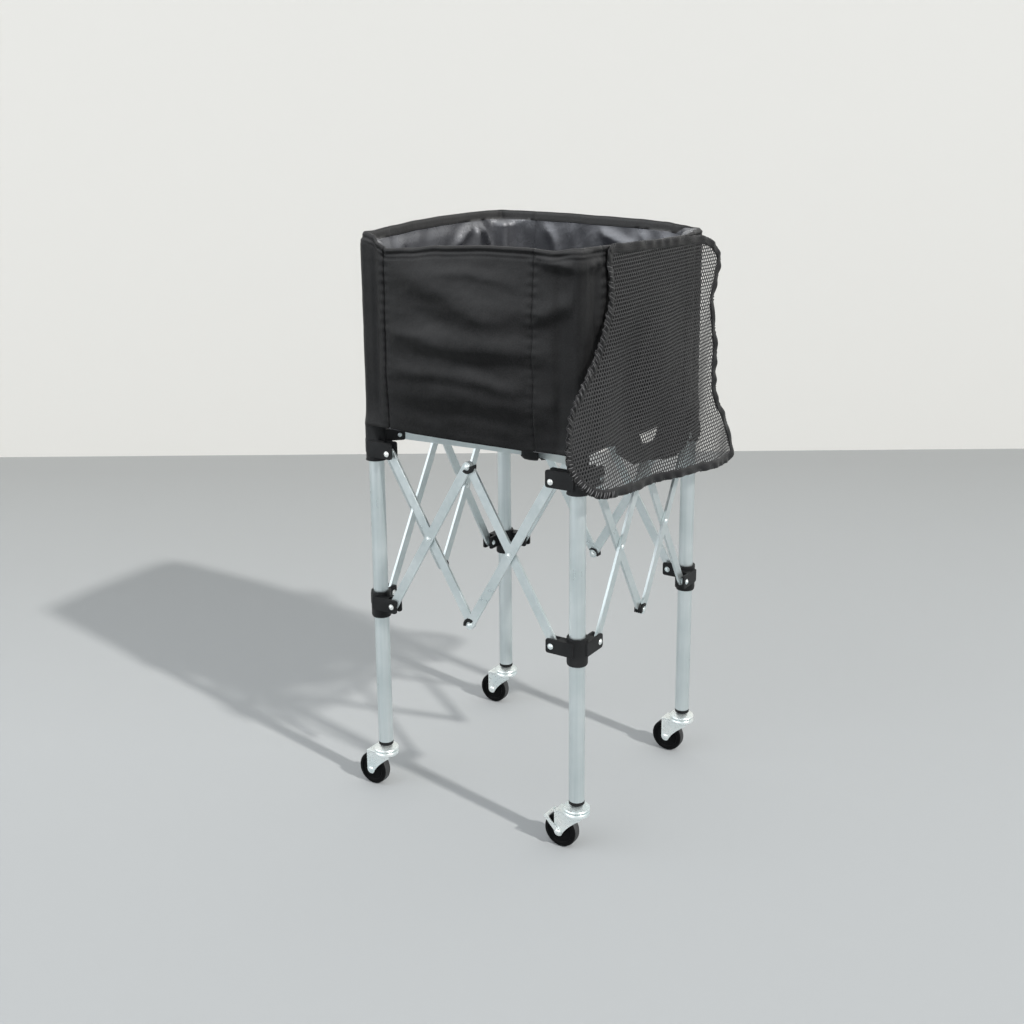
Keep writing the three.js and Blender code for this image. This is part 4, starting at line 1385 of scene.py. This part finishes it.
def inside_loop(y, z):
    """Odd number of crossings of a level line means inside."""
    within = False
    for a, b in zip(NET_LOOP, NET_LOOP[1:] + NET_LOOP[:1]):
        if (a.y > z) != (b.y > z) and y < a.x + (z - a.y) / (b.y - a.y) * (b.x - a.x):
            within = not within
    return within


def repeated(piece, count, step):
    return modified(
        piece, "ARRAY", count=count, use_relative_offset=False, use_constant_offset=True,
        constant_offset_displace=step, use_merge_vertices=True, merge_threshold=2e-5,
    )


def net_sheet():
    radius = PITCH / math.sqrt(3)
    bpy.ops.mesh.primitive_circle_add(vertices=6, radius=radius * MM, fill_type="NGON")
    net = named("net")
    with edit_mode(net):
        bpy.ops.mesh.inset(thickness=STRAND * MM)
        bpy.ops.mesh.delete(type="FACE")
        bpy.ops.mesh.select_all(action="SELECT")
        move = {"value": (PITCH / 2 * MM, 1.5 * radius * MM, 0)}
        bpy.ops.mesh.duplicate_move(TRANSFORM_OT_translate=move)
    repeated(net, 90, (PITCH * MM, 0, 0))
    repeated(net, 38, (0, 3 * radius * MM, 0))
    for vertex in net.data.vertices:
        vertex.co = Vector((0, vertex.co.x + SHEET_Y * MM, vertex.co.y + SHEET_Z * MM))
    outside = [
        not inside_loop(face.center.y / MM, face.center.z / MM) for face in net.data.polygons
    ]
    with edit_mode(net):
        bpy.ops.mesh.select_mode(type="FACE")
        bpy.ops.mesh.select_all(action="DESELECT")
    for face, off in zip(net.data.polygons, outside):
        face.select = off
    bpy.ops.object.mode_set(mode="EDIT")
    bpy.ops.mesh.delete(type="FACE")
    bpy.ops.mesh.select_mode(type="VERT")
    bpy.ops.object.mode_set(mode="OBJECT")
    for vertex in net.data.vertices:
        vertex.co = net_hang(vertex.co.y / MM, vertex.co.z / MM) * MM
    area = sum(face.area for face in net.data.polygons)
    modified(net, "SOLIDIFY", thickness=NET_THICK * MM, offset=0)
    print("net cells' strands", round(area, 4), "m2,", len(net.data.polygons), "faces")
    return net, area


NET_FINISH = woven_black(
    "knitted net", (0.014, 0.014, 0.0145), (0.075, 0.075, 0.077), 0.3, 0.5, 0.0
)
THREAD_GREY = woven_black(
    "grey thread", (0.04, 0.04, 0.041), (0.22, 0.22, 0.225), 0.6, 0.4, 0.0
)

# %% Binding round the cover
BINDING_SECTION = [
    (-1, 0), (-0.9, 0.75), (-0.3, 1), (0.4, 0.95), (0.92, 0.7), (1, 0), (0.92, -0.7),
    (0.4, -0.95), (-0.3, -1), (-0.9, -0.75),
]
BINDING_HALF, BINDING_THICK = 6.3, 1.3
BINDING_IN = BINDING_HALF - 0.6
STITCH_STEP, STITCH_THICK, STITCH_SLANT, STITCH_PROUD = 4.6, 0.62, 3.4, 0.25


def ruffle(far, y, z):
    """How a bound edge waves: tight gathers down the left edge, loose ones elsewhere."""
    left = 1.0 if y < -110 and z < 800 else 0.0
    loose = math.sin(far / 5.3 + 2.1 * math.sin(far / 31)) * 1.5
    tight = math.sin(far / 1.9 + 1.6 * math.sin(far / 17)) * 1.7
    return (1 - left) * loose + left * (0.5 * loose + tight)


EDGE = rounded_loop(COVER_EDGE, 22)
FAR = [0.0]
for a, b in zip(EDGE, EDGE[1:] + EDGE[:1]):
    FAR.append(FAR[-1] + (b - a).length)


def edge_place(i):
    """The way along the edge, the way inwards and the ruffle, at one of the edge's points."""
    tangent = (EDGE[(i + 1) % len(EDGE)] - EDGE[i - 1]).normalized()
    return tangent, Vector((-tangent.y, tangent.x)), ruffle(FAR[i], EDGE[i].x, EDGE[i].y)


def binding_strip():
    count, ring = len(EDGE), len(BINDING_SECTION)
    bpy.ops.mesh.primitive_grid_add(x_subdivisions=count, y_subdivisions=ring, size=1)
    strip = named("cover_binding")
    for vertex in strip.data.vertices:
        i = round((vertex.co.x + 0.5) * count) % count
        j = round((vertex.co.y + 0.5) * ring) % ring
        tangent, inward, wave = edge_place(i)
        across, thick = BINDING_SECTION[j]
        width = across * BINDING_HALF * (1 + 0.06 * math.sin(FAR[i] / 4))
        y, z = EDGE[i] + inward * (BINDING_IN + width)
        stand = thick * BINDING_THICK + wave * (0.45 - 0.55 * across)
        vertex.co = net_hang(y, z, stand) * MM
    for corner in strip.data.uv_layers.active.data:
        corner.uv = (corner.uv[0] * FAR[-1] * MM, corner.uv[1] * 0.024)
    return outward(strip, MERGE)


def stitch(i):
    """One thread laid across the binding: a thin tube, whose ends are closed later."""
    bpy.ops.mesh.primitive_grid_add(x_subdivisions=5, y_subdivisions=6, size=1)
    thread = named("stitch")
    tangent, inward, wave = edge_place(i)
    for vertex in thread.data.vertices:
        t, turn = vertex.co.x + 0.5, math.tau * (vertex.co.y + 0.5)
        across = -1.04 + 1.5 * t
        thick = STITCH_THICK * (1 - 0.75 * abs(2 * t - 1) ** 4)
        bulge = math.sqrt(max(0.0, 1 - across * across)) * BINDING_THICK
        slant = STITCH_SLANT * (t - 0.5) + thick * math.cos(turn)
        flat = EDGE[i] + inward * (BINDING_IN + across * BINDING_HALF) + tangent * slant
        lift = wave * (0.45 - 0.55 * across)
        stand = bulge + lift + STITCH_PROUD + thick * math.sin(turn)
        vertex.co = net_hang(flat.x, flat.y, stand) * MM
    return thread


def edge_stitches():
    """Overlock threads down the left edge of the cover, where the binding is gathered."""
    last, threads = -9.0, []
    for i, (y, z) in enumerate(EDGE):
        if y < -118 and 520 < z < 815 and FAR[i] - last >= STITCH_STEP:
            threads.append(stitch(i))
            last = FAR[i]
    print("edge stitches", len(threads))
    piece = outward(joined("cover_stitches", *threads), MERGE)
    with edit_mode(piece):
        fill_open_ends()
    return outward(piece)


def make_cover():
    net, area = net_sheet()
    with_painted_light(finished(smooth(net, 50), NET_FINISH))
    strip = with_painted_light(finished(smooth(binding_strip(), 60), BINDING))
    threads = with_painted_light(finished(smooth(edge_stitches(), 60), THREAD_GREY))
    for piece in (net, strip, threads):
        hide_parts("net_cover")
        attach(piece, "net_cover")
        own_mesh(piece)


make_cover()
